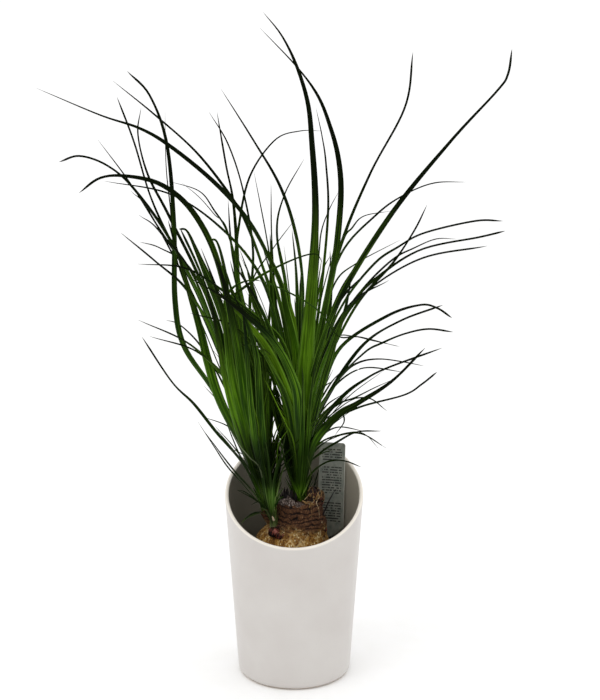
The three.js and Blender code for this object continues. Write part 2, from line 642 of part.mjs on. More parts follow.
// Tries a leaf's centreline in steps to one side and the other, further each time, until it is clear
// of the other heads, the rim and the label
function placeBlade(placed, obstacles, head, curveAtStep, width, twist) {
  const others = placed.filter((blade) => blade.head !== head);
  for (let attempt = 0; attempt < placeTries; attempt += 1) {
    const step = Math.ceil(attempt / 2) * (attempt % 2 ? 1 : -1);
    const blade = makeBlade(head, curveAtStep(step), width, twist);
    const meets = (other) => tooClose(blade.samples, other.samples);
    if (!tooClose(blade.samples, obstacles) && !others.some(meets)) {
      placed.push(blade);
      return;
    }
  }
}

function drawSource(seed) {
  let state = seed;
  return () => {
    state = (state * 16807) % 2147483647;
    return state / 2147483647;
  };
}

// Filling leaves are drawn behind and in front of their head in turn
function fillHead(placed, obstacles, head, fill) {
  const draw = drawSource(fill.seed);
  const between = ([low, high]) => low + (high - low) * draw();
  for (let i = 0; i < fill.count; i += 1) {
    const azimuth = (i % 2 ? 0.5 : -0.5) * Math.PI + fillSpread * (draw() - 0.5);
    const reach = fill.reach * between(fillReaches);
    const rise = fill.rise * between(fillRises);
    const droop = between(fillDroops);
    const width = rise * between(fillWidths);
    const turned = (step) => fillingCurve(head, azimuth + turnStep * step, reach, rise, droop);
    placeBlade(placed, obstacles, head, turned, width, between(fillTwists));
  }
}

// Listed leaves keep the outline that they have on the sheet and are moved in depth
function placeLeaves() {
  const placed = [];
  const obstacles = obstacleSamples();
  const listed = [[rightHead, rightLeaves], [leftHead, leftLeaves], [offsetHead, offsetLeaves]];
  for (const [head, leaves] of listed) {
    for (const [width, twist, tipDepth, ...marks] of leaves) {
      const moved = (step) => listedCurve(head, tipDepth + depthStep * step, marks);
      placeBlade(placed, obstacles, head, moved, width, twist);
    }
  }
  fillHead(placed, obstacles, rightHead, rightFill);
  fillHead(placed, obstacles, leftHead, leftFill);
  fillHead(placed, obstacles, offsetHead, offsetFill);
  return placed;
}

// A solid blade with a flat face over a low keel
function bladeGeometry(blade) {
  const step = blade.width > narrowBlade ? bladeStep : narrowBladeStep;
  const wanted = Math.round(blade.curve.getLength() / step);
  const steps = THREE.MathUtils.clamp(wanted, fewestSteps, mostSteps);
  const positions = [];
  for (let i = 0; i <= steps; i += 1) {
    const { place, width, normal } = bladeFrame(blade, i / steps);
    const half = halfWidth(blade.width, i / steps);
    const keel = bladeKeel + bladeKeelShare * half;
    positions.push(...place.clone().addScaledVector(width, half).toArray());
    positions.push(...place.clone().addScaledVector(width, -half).toArray());
    positions.push(...place.clone().addScaledVector(normal, keel).toArray());
  }
  const index = [0, 1, 2, 3 * steps, 3 * steps + 2, 3 * steps + 1];
  for (let i = 0; i < steps; i += 1) {
    for (let edge = 0; edge < 3; edge += 1) {
      const near = 3 * i + edge;
      const next = 3 * i + ((edge + 1) % 3);
      index.push(near, near + 3, next + 3, near, next + 3, next);
    }
  }
  const geometry = new THREE.BufferGeometry();
  geometry.setAttribute('position', new THREE.Float32BufferAttribute(positions, 3));
  geometry.setIndex(index);
  return geometry;
}

function headGeometry(placed, head) {
  let solid = toSolid(coreGeometry(head));
  for (const blade of placed) {
    if (blade.head === head) solid = solid.add(toSolid(bladeGeometry(blade)));
  }
  return outerSkin(toGeometry(solid));
}

const leaves = placeLeaves();
const palm = new THREE.Group();
palm.name = 'potted_ponytail_palm';
palm.add(namedMesh('ceramic_pot', potGeometry(), glazedWhite));
palm.add(namedMesh('nursery_pot', growerGeometry(), blackPlastic));
palm.add(namedMesh('soil', soilGeometry(), pottingSoil));
palm.add(namedMesh('caudex', caudexGeometry(), corkyBark));
palm.add(namedMesh('crown_right', headGeometry(leaves, rightHead), leafGreen));
palm.add(namedMesh('crown_left', headGeometry(leaves, leftHead), leafGreen));
palm.add(namedMesh('offset_shoot', headGeometry(leaves, offsetHead), shootGreen));
palm.add(namedMesh('plant_label', labelGeometry(), labelGrey));

export default palm;
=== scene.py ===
import functools
import math
import bpy
import numpy as np
from mathutils import Matrix, Vector


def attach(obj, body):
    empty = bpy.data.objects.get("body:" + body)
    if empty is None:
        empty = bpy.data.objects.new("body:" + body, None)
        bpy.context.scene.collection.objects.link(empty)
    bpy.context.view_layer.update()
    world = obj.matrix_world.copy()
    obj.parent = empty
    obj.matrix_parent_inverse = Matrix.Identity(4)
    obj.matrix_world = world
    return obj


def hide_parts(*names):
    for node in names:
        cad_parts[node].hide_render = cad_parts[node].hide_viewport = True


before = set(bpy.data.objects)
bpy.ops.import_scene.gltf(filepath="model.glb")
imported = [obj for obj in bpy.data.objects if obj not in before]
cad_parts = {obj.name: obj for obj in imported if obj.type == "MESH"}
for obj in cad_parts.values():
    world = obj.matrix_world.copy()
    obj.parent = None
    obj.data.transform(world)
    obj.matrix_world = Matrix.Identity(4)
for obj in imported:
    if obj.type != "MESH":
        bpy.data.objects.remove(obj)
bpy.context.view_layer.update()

# Potted ponytail palm. The frame is in metres, +Z up, the front at -Y.
mm = 0.001
scene = bpy.context.scene


def linearColour(hexText):
    parts = [int(hexText[i:i + 2], 16) / 255 for i in (1, 3, 5)]
    return [p / 12.92 if p <= 0.04045 else ((p + 0.055) / 1.055) ** 2.4 for p in parts] + [1.0]


def addNode(tree, kind, settings=None, inputs=None):
    node = tree.nodes.new(kind)
    for name, value in (settings or {}).items():
        if name == "ramp":  # colour stops: position and hex colour
            stops = node.color_ramp.elements
            while len(stops) < len(value):
                stops.new(0.5)
            for stop, (position, colour) in zip(stops, value):
                stop.position = position
                stop.color = linearColour(colour)
        else:
            setattr(node, name, value)
    for key, value in (inputs or {}).items():
        if isinstance(value, bpy.types.NodeSocket):
            tree.links.new(value, node.inputs[key])
        else:
            node.inputs[key].default_value = value
    return node.outputs


def newMaterial(name):
    material = bpy.data.materials.new(name)
    material.use_nodes = True
    return material, material.node_tree, material.node_tree.nodes["Principled BSDF"]


def newShapeTree(name, sockets):
    tree = bpy.data.node_groups.new(name, "GeometryNodeTree")
    tree.interface.new_socket("Geometry", in_out="INPUT", socket_type="NodeSocketGeometry")
    for label, kind in sockets.items():
        tree.interface.new_socket(label, in_out="INPUT", socket_type="NodeSocket" + kind)
    tree.interface.new_socket("Geometry", in_out="OUTPUT", socket_type="NodeSocketGeometry")
    return tree, addNode(tree, "NodeGroupInput")


def endShapeTree(tree, geometry, material):
    real = addNode(tree, "GeometryNodeRealizeInstances", None, {0: geometry})
    dressed = addNode(tree, "GeometryNodeSetMaterial", None, {"Geometry": real[0], "Material": material})
    addNode(tree, "NodeGroupOutput", None, {0: dressed[0]})


def newObject(name, mesh):
    piece = bpy.data.objects.new(name, mesh)
    scene.collection.objects.link(piece)
    return piece


# The plain mesh that a piece's modifiers make
def finishedMesh(piece):
    bpy.context.view_layer.update()
    depsgraph = bpy.context.evaluated_depsgraph_get()
    return bpy.data.meshes.new_from_object(piece.evaluated_get(depsgraph), depsgraph=depsgraph)


# Runs a shape tree on a base mesh and keeps the plain mesh that it makes
def shapeObject(name, base, tree, values):
    piece = newObject(name, base)
    modifier = piece.modifiers.new("shape", "NODES")
    modifier.node_group = tree
    for item in tree.interface.items_tree:
        if item.in_out == "INPUT" and item.name in values:
            modifier[item.identifier] = values[item.name]
    finished = finishedMesh(piece)
    piece.modifiers.clear()
    piece.data = finished
    finished.name = name
    return piece


def newMesh(name, points, faces=(), edges=()):
    mesh = bpy.data.meshes.new(name)
    mesh.from_pydata([tuple(p) for p in points], list(edges), list(faces))
    mesh.update()
    return mesh


def addAttribute(mesh, name, values, kind="FLOAT"):
    attribute = mesh.attributes.new(name, kind, "POINT")
    key = "vector" if kind == "FLOAT_VECTOR" else "value"
    attribute.data.foreach_set(key, np.asarray(values, dtype=np.float32).ravel())


def smoothStep(value, low, high):
    share = np.clip((value - low) / (high - low), 0, 1)
    return share * share * (3 - 2 * share)


def ringAngles(sides):
    return np.arange(sides) * 2 * math.pi / sides


# Every piece stands in or grows from the pot, so all of them ride on one body
def settle(piece, node):
    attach(piece, "root")
    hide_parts(node)


# Stands a camera or a lamp at a place in metres, turned along a direction
def standAt(holder, place, direction):
    holder.location = place
    holder.rotation_euler = Vector(direction).to_track_quat("-Z", "Y").to_euler()


# The camera, which the leaves are also set out for; millimetres
view = {
    "eye": np.array([6.0, -1100.0, 500.0]),
    "target": np.array([6.0, 0.0, 334.0]),
    "pictureHeight": 700.0,  # millimetres of the plane through the target that the frame takes in
    "sensor": 36.0,
}


def makeCamera():
    lens = view["sensor"] * np.linalg.norm(view["target"] - view["eye"]) / view["pictureHeight"]
    camera = bpy.data.cameras.new("camera")
    camera.sensor_width = view["sensor"]
    camera.lens = lens
    camera.clip_end = 50
    scene.camera = newObject("camera", camera)
    standAt(scene.camera, view["eye"] * mm, view["target"] - view["eye"])


makeCamera()
print("camera stands in front of the palm")


# Ceramic pot, in millimetres
pot = {
    "baseRadius": 57.5, "topRadius": 73.5, "frontHeight": 149.0, "backHeight": 228.0,
    "wall": 4.0, "floor": 7.0, "footRound": 6.0, "insideRound": 9.0, "sides": 240,
    "footRows": 9, "outsideRows": 30, "lipRows": 15, "insideRows": 26, "cornerRows": 8,
    # how much of the inside's glaze the rings over the lip have, from where it starts
    "lipGlaze": (0.25, 0.6, 0.85, 1.0, 1.0),
}
pot["flare"] = (pot["topRadius"] - pot["baseRadius"]) / pot["backHeight"]


def potRadius(height):
    return pot["baseRadius"] + pot["flare"] * height


pot["slope"] = (pot["backHeight"] - pot["frontHeight"]) / (
    potRadius(pot["backHeight"]) + potRadius(pot["frontHeight"]))


# A point of the pot's wall, so far in from its outside and so far under the slanted rim
def rimPoint(angle, inwards, below):
    back = np.sin(angle)
    middle = pot["frontHeight"] + pot["slope"] * potRadius(pot["frontHeight"])
    top = (middle + pot["slope"] * pot["baseRadius"] * back) / (1 - pot["slope"] * pot["flare"] * back)
    height = top - pot["slope"] * inwards * back - below
    radius = potRadius(height) - inwards
    return np.stack([radius * np.cos(angle), radius * np.sin(angle), height], axis=-1)


# Where the leaves stand, in millimetres
heads = {
    "right": {"foot": np.array([6.0, 4.0, 174.0]), "footRadius": 6.0, "topRadius": 9.0, "height": 22.0},
    "left": {"foot": np.array([-27.0, 11.0, 163.0]), "footRadius": 6.5, "topRadius": 8.5, "height": 20.0},
    "offset": {"foot": np.array([-21.0, -13.0, 153.0]), "footRadius": 3.6, "topRadius": 4.0, "height": 14.0},
}
# Each leaf: width, twist in degrees, depth of its tip, and its marks across and up the sheet
leafMarks = {
    "right": [
        [13, 10, -60, (9, 244), (8, 294), (9, 325), (13, 360), (17, 404), (21, 454), (21, 494), (18, 540),
         (14, 580), (3, 617), (-12, 648), (-31, 672)],
        [13, 15, 40, (9, 244), (16, 296), (20, 318), (26, 352), (39, 414), (44, 450), (47, 494), (44, 528),
         (36, 558), (24, 588), (3, 617), (-34, 656)],
        [4, 20, 80, (12, 284), (26, 384), (34, 470), (32, 520), (28, 548), (22, 576)],
        [9, 50, -40, (12, 254), (24, 344), (46, 436), (76, 510), (111, 577), (119, 632)],
        [10, 50, -80, (14, 254), (28, 324), (44, 382), (96, 468), (156, 542), (203, 593), (214, 610),
         (218, 635)],
        [4, 20, 60, (12, 264), (28, 364), (48, 440), (58, 456), (70, 468), (97, 473)],
        [6, 25, 110, (14, 264), (26, 354), (46, 428), (82, 469), (110, 489), (140, 501), (172, 502)],
        [4, 20, 40, (16, 284), (28, 354), (41, 401), (63, 421), (106, 444)],
        [7, 35, -60, (18, 284), (41, 339), (66, 384), (98, 420), (120, 453), (133, 479)],
        [8, 50, -60, (16, 284), (30, 339), (52, 385), (81, 421), (104, 437), (130, 451), (181, 463),
         (209, 463)],
        [9, 60, 30, (18, 284), (38, 344), (57, 379), (80, 404), (126, 434), (186, 447), (211, 453)],
        [5, 20, 150, (20, 294), (42, 354), (68, 394), (98, 424), (120, 436), (142, 445), (162, 445)],
        [7, 50, -130, (20, 289), (44, 354), (71, 391), (126, 425), (193, 438)],
        [9, 60, -90, (12, 244), (28, 294), (47, 337), (93, 368), (126, 379), (143, 376), (158, 366)],
        [10, 65, 60, (14, 244), (36, 292), (69, 339), (106, 363), (149, 379)],
        [8, 60, -20, (16, 249), (41, 300), (70, 331), (88, 341), (110, 350), (134, 355), (159, 352)],
        [10, 60, 90, (14, 229), (27, 262), (50, 289), (70, 304), (93, 316), (148, 336)],
        [6, 25, 130, (14, 239), (31, 284), (50, 311), (66, 322), (86, 325), (110, 322), (130, 318)],
        [7, 60, -110, (18, 239), (37, 262), (66, 277), (110, 289), (128, 300), (143, 312)],
        [12, 110, -120, (19, 236), (33, 258), (48, 272), (64, 281), (98, 303), (131, 336)],
        [6, 30, -50, (14, 239), (28, 268), (48, 282), (74, 286), (93, 273)],
        [6, 30, -70, (12, 222), (26, 241), (46, 249), (68, 250), (92, 236)],
        [7, 35, -30, (14, 218), (26, 231), (43, 242), (63, 252), (87, 253)],
        [5, 30, 10, (12, 222), (22, 239), (31, 251), (46, 257), (69, 253)],
        [6, 35, -35, (14, 205), (23, 216), (36, 223), (51, 223), (67, 217)],
        [4, 25, -60, (18, 239), (36, 259), (47, 270), (50, 262), (41, 249)],
        [12, 15, 80, (3, 264), (-3, 334), (-9, 384), (-24, 424), (-46, 464), (-80, 502), (-124, 538),
         (-155, 556), (-194, 569), (-258, 596)],
        [8, 25, -60, (1, 264), (-9, 334), (-26, 400), (-44, 452), (-60, 483), (-96, 530), (-139, 569),
         (-181, 603)],
        [9, 20, 20, (8, 284), (8, 347), (9, 397), (2, 449), (-14, 498), (-42, 546), (-73, 595)],
        [4, 25, -90, (4, 284), (-6, 384), (-17, 449), (-10, 488), (10, 525)],
        [5, 15, -30, (2, 264), (-16, 364), (-22, 439), (-23, 500)],
        [5, 15, 100, (-4, 284), (-20, 384), (-26, 438), (-40, 512)],
        [7, 25, -100, (0, 264), (-16, 354), (-36, 412), (-74, 457), (-124, 490), (-190, 503)],
        [8, 25, -120, (3, 254), (-3, 314), (-14, 346), (-36, 366), (-72, 394), (-109, 416), (-156, 420)],
        [12, 10, -90, (3, 234), (-6, 284), (-20, 324), (-32, 364), (-54, 414)],
        [12, 10, -50, (5, 234), (1, 294), (-5, 354), (-9, 404), (-16, 444)],
        [9, 15, 60, (-4, 214), (-9, 240), (-14, 258), (-19, 275), (-32, 312), (-39, 330), (-48, 352)],
        [13, 5, -85, (3, 222), (2, 236), (1, 250), (-3, 272), (-10, 292), (-17, 307), (-34, 338), (-44, 352)
         ],
        [11, 20, -100, (12, 234), (24, 284), (38, 334), (51, 374), (58, 412)],
        [10, 10, 110, (6, 234), (6, 304), (4, 364), (2, 414), (-2, 454)],
        [12, 15, 90, (9, 234), (22, 294), (32, 344), (37, 394), (36, 434)],
    ],
    "left": [
        [10, 120, -30, (-53, 242), (-81, 294), (-110, 338), (-119, 384), (-120, 459), (-127, 539),
         (-144, 588), (-167, 613)],
        [6, 20, 90, (-44, 244), (-82, 354), (-109, 414), (-139, 462), (-166, 504), (-196, 544)],
        [8, 60, -90, (-42, 244), (-79, 354), (-122, 441), (-159, 494), (-186, 518), (-214, 528), (-235, 522)
         ],
        [12, 70, -50, (-39, 229), (-51, 279), (-61, 334), (-68, 389), (-82, 438), (-105, 477), (-134, 500),
         (-168, 508), (-194, 506), (-215, 491)],
        [8, 50, 50, (-44, 244), (-89, 374), (-124, 444), (-144, 489), (-160, 542), (-177, 587)],
        [7, 20, 120, (-44, 244), (-86, 384), (-124, 466), (-146, 509), (-156, 549), (-153, 576)],
        [4, 20, 140, (-46, 254), (-94, 374), (-144, 471), (-163, 493)],
        [4, 20, -130, (-48, 254), (-94, 394), (-134, 452), (-155, 469)],
        [7, 25, -100, (-48, 244), (-79, 344), (-107, 394), (-139, 423), (-173, 451)],
        [5, 20, 60, (-46, 254), (-79, 364), (-104, 416), (-134, 436), (-154, 442)],
        [9, 80, -20, (-42, 244), (-69, 354), (-88, 408), (-98, 434), (-107, 453), (-115, 455)],
        [10, 90, 0, (-37, 229), (-51, 284), (-60, 334), (-65, 374), (-69, 412), (-77, 442), (-86, 443)],
        [4, 20, 90, (-46, 244), (-74, 306), (-94, 339), (-114, 359), (-128, 364)],
        [7, 70, -60, (-50, 219), (-77, 251), (-100, 280), (-122, 302), (-152, 347)],
        [5, 20, 90, (-36, 254), (-48, 334), (-58, 414), (-55, 459), (-44, 508), (-19, 544), (6, 553),
         (28, 553)],
        [6, 20, -40, (-32, 234), (-40, 304), (-44, 374), (-41, 434), (-51, 494), (-66, 540), (-85, 572)],
        [9, 40, 60, (-34, 234), (-46, 304), (-55, 374), (-57, 434), (-61, 484), (-68, 519), (-77, 572)],
        [4, 20, 70, (-36, 264), (-54, 400), (-66, 450), (-80, 474), (-95, 493), (-126, 503)],
        [6, 25, -110, (-44, 244), (-64, 334), (-68, 386), (-42, 404), (-6, 392), (26, 372), (44, 348),
         (66, 347), (106, 337)],
        [6, 25, -95, (-42, 244), (-62, 334), (-66, 378), (-44, 401), (-19, 416), (6, 427), (22, 430),
         (28, 422)],
        [14, 110, -60, (-51, 235), (-74, 284), (-86, 322), (-94, 355), (-105, 393), (-113, 420), (-126, 464)
         ],
        [12, 60, -80, (-44, 234), (-58, 284), (-68, 329), (-77, 364), (-87, 394), (-98, 422), (-114, 456)],
        [11, 100, -20, (-40, 234), (-56, 304), (-68, 360), (-80, 398), (-97, 432)],
        [13, 20, -75, (-43, 232), (-52, 265), (-58, 290), (-61, 320), (-63, 354), (-69, 390), (-79, 425)],
        [10, 10, 110, (-34, 234), (-42, 304), (-50, 374), (-62, 434), (-66, 484)],
        [10, 15, 100, (-30, 234), (-32, 294), (-32, 354), (-40, 394), (-54, 434)],
        [10, 10, 60, (-28, 234), (-26, 284), (-28, 334), (-24, 374), (-22, 414)],
        [11, 10, -60, (-33, 234), (-40, 284), (-46, 334), (-54, 384), (-64, 424)],
    ],
    "offset": [
        [6, 10, -45, (-29, 190), (-33, 224), (-40, 271), (-46, 300)],
        [5, 15, -30, (-25, 217), (-29, 244), (-32, 268)],
        [3, 20, -45, (-27, 171), (-35, 172), (-44, 169), (-53, 160)],
        [4, 20, -42, (-30, 176), (-38, 184), (-57, 194)],
        [4, 20, -55, (-36, 186), (-62, 216), (-90, 253)],
        [4, 15, -40, (-20, 200), (-14, 226), (-8, 250)],
        [4, 15, -2, (-30, 205), (-40, 236), (-52, 262)],
    ],
}
# Strands and narrow blades between them, which are only drawn here: width, twist, depth of the tip, tone
# (pale below 0, dark towards 1) and marks
fineMarks = {
    "right": [
        [2.5, 20, 30, 0.6, (14, 240), (30, 310), (42, 345), (58, 348), (80, 343), (104, 338)],
        [3, 20, 60, 0.7, (16, 240), (28, 265), (45, 280), (62, 287), (80, 296), (100, 305)],
        [2, 20, -60, 0.7, (14, 222), (36, 245), (58, 252), (72, 249), (84, 236)],
        [2.5, 15, 40, 0.6, (14, 280), (20, 360), (25, 430), (28, 455), (36, 476), (45, 493)],
        [3, 15, -50, 0.4, (12, 280), (20, 360), (28, 410), (36, 428)],
        [3, 15, 60, 0.6, (12, 280), (18, 350), (24, 400), (28, 427)],
        [1.6, 10, -95, -0.5, (0, 240), (-8, 260), (-15, 275), (-23, 292), (-30, 306)],
        [1.5, 15, -60, -0.3, (15, 240), (17, 258), (13, 274), (6, 285), (-2, 297)],
        [3, 10, -60, 0.5, (5, 187), (1, 197), (-4, 208), (-9, 222), (-13, 239), (-18, 256)],
        [2.5, 10, -70, 0.0, (5, 187), (3, 207), (0, 228), (-4, 243), (-9, 258), (-14, 270)],
        [1.5, 10, -45, -0.4, (5, 186), (1, 195), (-3, 204), (-7, 214)],
        [1.6, 20, -40, -0.6, (9, 190), (15, 203), (17, 211), (15, 221), (13, 228)],
        [3, 10, -30, 0.2, (8, 195), (11, 215), (14, 232), (21, 246), (28, 258), (34, 268)],
        [2.5, 20, 10, 0.8, (14, 186), (20, 198), (23, 208), (25, 215)],
        [2.5, 20, -40, 0.7, (14, 235), (24, 255), (32, 265), (43, 274), (54, 282), (66, 287)],
        [4, 30, -50, 0.6, (16, 240), (19, 268), (25, 289), (31, 298), (39, 303)],
        [4, 30, -30, 0.6, (15, 240), (21, 272), (30, 290), (40, 305), (52, 316)],
        [19, 5, -110, -0.4, (2, 236), (2, 252), (-1, 270), (-6, 288), (-12, 305), (-19, 321), (-28, 338),
         (-42, 356), (-62, 378), (-82, 402)],
        [12, 8, 20, 0.9, (4, 205), (-2, 232), (-8, 255), (-14, 278), (-20, 300), (-28, 325)],
        [9, 8, 0, 0.95, (0, 200), (-8, 232), (-15, 252), (-20, 272), (-24, 292), (-30, 315)],
        [13, 28, -80, 0.9, (14, 254), (28, 324), (44, 382), (96, 468), (156, 542), (203, 593)],
        [26, 5, -95, -0.28, (6, 236), (8, 270), (10, 300), (12, 325), (14, 350), (17, 385), (20, 420),
         (22, 460), (21, 500)],
        [15, 5, -80, -0.1, (4, 240), (4, 290), (2, 330), (-2, 352), (-8, 376), (-13, 400), (-26, 430),
         (-46, 464)],
        [13, 10, -50, 0.35, (9, 244), (15, 290), (20, 310), (24, 330), (28, 352), (35, 395), (42, 440)],
        [8, 10, 30, 0.75, (12, 250), (20, 275), (26, 295), (32, 310), (38, 326), (43, 345), (45, 360)],
        [12, 10, 50, 0.95, (2, 210), (-4, 240), (-10, 262), (-18, 280), (-25, 297), (-33, 318), (-40, 340)
         ],
        [9, 5, -100, 0.45, (4, 190), (6, 220), (8, 250), (9, 275), (9, 300), (8, 318)],
        [8, 5, -95, 0.3, (7, 190), (11, 220), (14, 250), (16, 280), (19, 305), (21, 325)],
        [6, 10, -130, 0.4, (4, 262), (4, 290), (-4, 318), (-16, 338), (-32, 355), (-52, 374), (-78, 392)],
        [5, 10, -135, 0.2, (2, 262), (0, 296), (-10, 324), (-24, 346), (-44, 364), (-70, 386), (-96, 402)],
        [14, 8, -150, 0.45, (4, 262), (3, 292), (-8, 322), (-22, 344), (-40, 362), (-60, 378), (-84, 396)],
        [8, 10, -60, -0.45, (2, 260), (3, 320), (0, 360), (-4, 378), (-9, 402), (-13, 425), (-17, 450)],
        [9, 10, -50, -0.1, (-4, 250), (-12, 300), (-18, 340), (-21, 370), (-23, 400), (-23, 430), (-24, 450)
         ],
        [9, 10, -60, 0.3, (-2, 260), (-14, 310), (-28, 350), (-37, 372), (-44, 392), (-51, 410), (-57, 430)
         ],
        [9, 10, -40, 0.4, (0, 250), (-14, 310), (-27, 345), (-36, 375), (-42, 395), (-47, 412)],
        [3.5, 15, -100, 0.8, (4, 280), (-10, 330), (-24, 352), (-42, 368), (-62, 383), (-82, 394),
         (-112, 410)],
        [1.8, 10, -112, -0.5, (4, 280), (-10, 332), (-24, 350), (-42, 364), (-60, 378), (-78, 390),
         (-92, 400)],
        [3, 10, -140, -0.3, (2, 262), (2, 296), (-6, 318), (-20, 342), (-38, 360), (-60, 380), (-86, 398)],
    ],
    "left": [
        [2.5, 15, 60, 0.6, (-46, 244), (-84, 340), (-116, 420), (-124, 480), (-128, 520), (-129, 572)],
        [2, 15, 50, 0.6, (-40, 264), (-56, 384), (-66, 452), (-80, 470), (-95, 487), (-112, 501)],
        [2.5, 15, -60, 0.6, (-36, 264), (-44, 360), (-42, 402), (-22, 434), (2, 466)],
        [5, 10, -60, 0.1, (-35, 189), (-42, 211), (-49, 234), (-54, 250), (-61, 270)],
        # a pale strand whose near-white colour is a painted highlight along a curled leaf
        [2, 15, -80, -0.9, (-33, 212), (-38, 221), (-43, 225), (-49, 232), (-54, 238), (-62, 252)],
        [2, 10, -50, -0.3, (-32, 210), (-36, 229), (-45, 260), (-54, 287), (-62, 312)],
        [1.6, 10, -60, -0.4, (-33, 225), (-35, 243), (-36, 260), (-40, 276), (-44, 292)],
        [1.6, 10, -45, -0.3, (-33, 225), (-35, 250), (-31, 274), (-27, 292)],
        [6, 10, 40, 0.9, (-18, 200), (-14, 225), (-17, 237), (-21, 247), (-24, 262)],
        [3, 10, -70, 0.0, (-20, 200), (-13, 223), (0, 239), (15, 256), (30, 272), (46, 286)],
        [2.6, 10, -60, 0.2, (-18, 190), (-14, 203), (-11, 215), (1, 231), (14, 248), (34, 280)],
        [1.5, 10, -66, -0.4, (-18, 215), (-16, 237), (-12, 246), (-6, 254)],
        [8, 10, 60, 0.95, (-20, 188), (-17, 205), (-16, 225), (-19, 243)],
        [8, 10, 50, 0.95, (-22, 190), (-24, 210), (-25, 228), (-27, 246)],
        [5, 10, -20, 0.5, (-33, 186), (-40, 200), (-47, 214), (-55, 230), (-61, 246)],
        [5, 10, 0, 0.4, (-35, 192), (-44, 208), (-52, 224), (-60, 242), (-70, 268)],
        [4, 10, 20, 0.8, (-32, 186), (-38, 205), (-43, 222), (-46, 240), (-49, 256)],
        [15, 5, -130, -0.16, (-46, 236), (-50, 256), (-55, 276), (-60, 298), (-64, 322), (-67, 348),
         (-71, 372), (-80, 402), (-93, 436)],
        [12, 5, -40, 0.2, (-44, 236), (-50, 268), (-54, 300), (-58, 330), (-62, 362), (-68, 395), (-77, 430)
         ],
        [10, 5, -150, -0.25, (-50, 236), (-58, 262), (-65, 288), (-71, 315), (-76, 345), (-82, 375),
         (-92, 410)],
        [16, 5, -135, 0.3, (-38, 236), (-46, 270), (-52, 310), (-58, 345), (-65, 380), (-72, 408),
         (-80, 430)],
        [8, 10, -30, 0.4, (-42, 240), (-56, 310), (-66, 360), (-76, 390), (-86, 412), (-97, 435),
         (-105, 452)],
        [14, 5, -80, 0.3, (-40, 236), (-45, 268), (-49, 300), (-52, 330), (-56, 362), (-62, 392), (-72, 425)
         ],
        [9, 5, -125, 0.5, (-38, 236), (-42, 268), (-45, 300), (-47, 330), (-49, 352), (-52, 380)],
        [11, 5, -120, 0.6, (-30, 230), (-33, 262), (-35, 295), (-37, 325), (-43, 350), (-52, 372),
         (-62, 392)],
        [9, 5, -55, 0.85, (-27, 230), (-29, 262), (-28, 295), (-31, 330), (-36, 352), (-42, 380)],
    ],
    "offset": [
        [5, 8, -38, -0.2, (-23, 172), (-25, 189), (-28, 208), (-32, 226), (-36, 251), (-42, 288)],
        [4, 8, -32, 0.2, (-21, 190), (-24, 210), (-28, 230), (-34, 259), (-39, 298)],
        # a pale strand that is a painted highlight beside the shoot's stem
        [2.4, 10, -20, -0.7, (-19, 184), (-17, 189), (-15, 200), (-12, 211), (-9, 221)],
        [3.5, 10, -45, 1.0, (-34, 186), (-40, 199), (-50, 219), (-63, 237), (-77, 254)],
        [1.5, 10, -30, 1.0, (-28, 178), (-36, 182), (-43, 179)],
        [3.6, 10, -40, 0.9, (-27, 176), (-37, 184), (-53, 202), (-67, 218), (-79, 236), (-96, 262)],
        [3.6, 10, -30, 0.9, (-31, 184), (-37, 202), (-49, 221), (-61, 238), (-79, 258)],
        [2.6, 10, -45, 0.9, (-30, 178), (-36, 183), (-49, 192), (-57, 194)],
        [3.4, 10, -45, -0.7, (-26, 169), (-33, 171), (-41, 169), (-49, 165), (-53, 160)],
        [2, 10, -40, -0.8, (-26, 171), (-30, 175), (-35, 176)],
        [4, 10, -20, 0.7, (-28, 182), (-34, 196), (-40, 210), (-45, 226)],
    ],
}
fills = {
    "right": {"count": 14, "seed": 4711, "reach": 150.0, "rise": 300.0},
    "left": {"count": 14, "seed": 2203, "reach": 140.0, "rise": 280.0},
    "offset": {"count": 4, "seed": 253, "reach": 30.0, "rise": 80.0},
}
leafRule = {
    "depthLag": 1.2, "rootOut": 0.4, "rootUp": 0.3, "rootShare": 0.72, "opening": 0.15, "taper": 0.6,
    "samples": 64, "nearby": 16.0, "clearance": 3.4, "depthStep": 12.0, "turnStep": math.radians(4),
    "tries": 31, "arch": 1.7, "spread": math.radians(110), "reaches": (0.5, 1.2), "rises": (0.65, 1.05),
    "droops": (0.12, 0.4), "widths": (0.024, 0.034), "twists": (-20, 20), "rimPoints": 96,
    "rimBelow": (0, 6, 12), "boardStep": 4,
}
# Narrow blades drawn at random close round each head: how many, how far out, how high and how wide
fineFills = {"right": 44, "left": 48, "offset": 4}
fineRule = {
    "seed": 87, "reach": (14, 92), "rise": (60, 265), "droop": (0.05, 0.3), "width": (1.8, 6.0),
    # one in so many stands in front, at a share of half a turn; the others stand at the sides and behind
    "frontEvery": 8, "frontShares": (-0.8, -0.2), "back": (-0.4, math.pi + 0.4),
}
# Thin pale threads at the front of each foot
threads = {
    "counts": {"right": 22, "left": 20},
    "reach": (8, 50), "rise": (40, 120), "width": (2.2, 3.2), "tone": (-0.75, -0.3), "droop": 0.2,
    "twist": 10,
}


# A point of the tilted sheet, moved along the line of sight to a depth
def seenPoint(across, up, depth):
    look = view["target"] - view["eye"]
    sheetUp = np.cross([1.0, 0.0, 0.0], look / np.linalg.norm(look))
    middle = view["target"]
    point = middle + np.array([across - middle[0], 0, 0]) + sheetUp * (up - middle[2])
    return view["eye"] + (point - view["eye"]) * (depth - view["eye"][1]) / (point[1] - view["eye"][1])


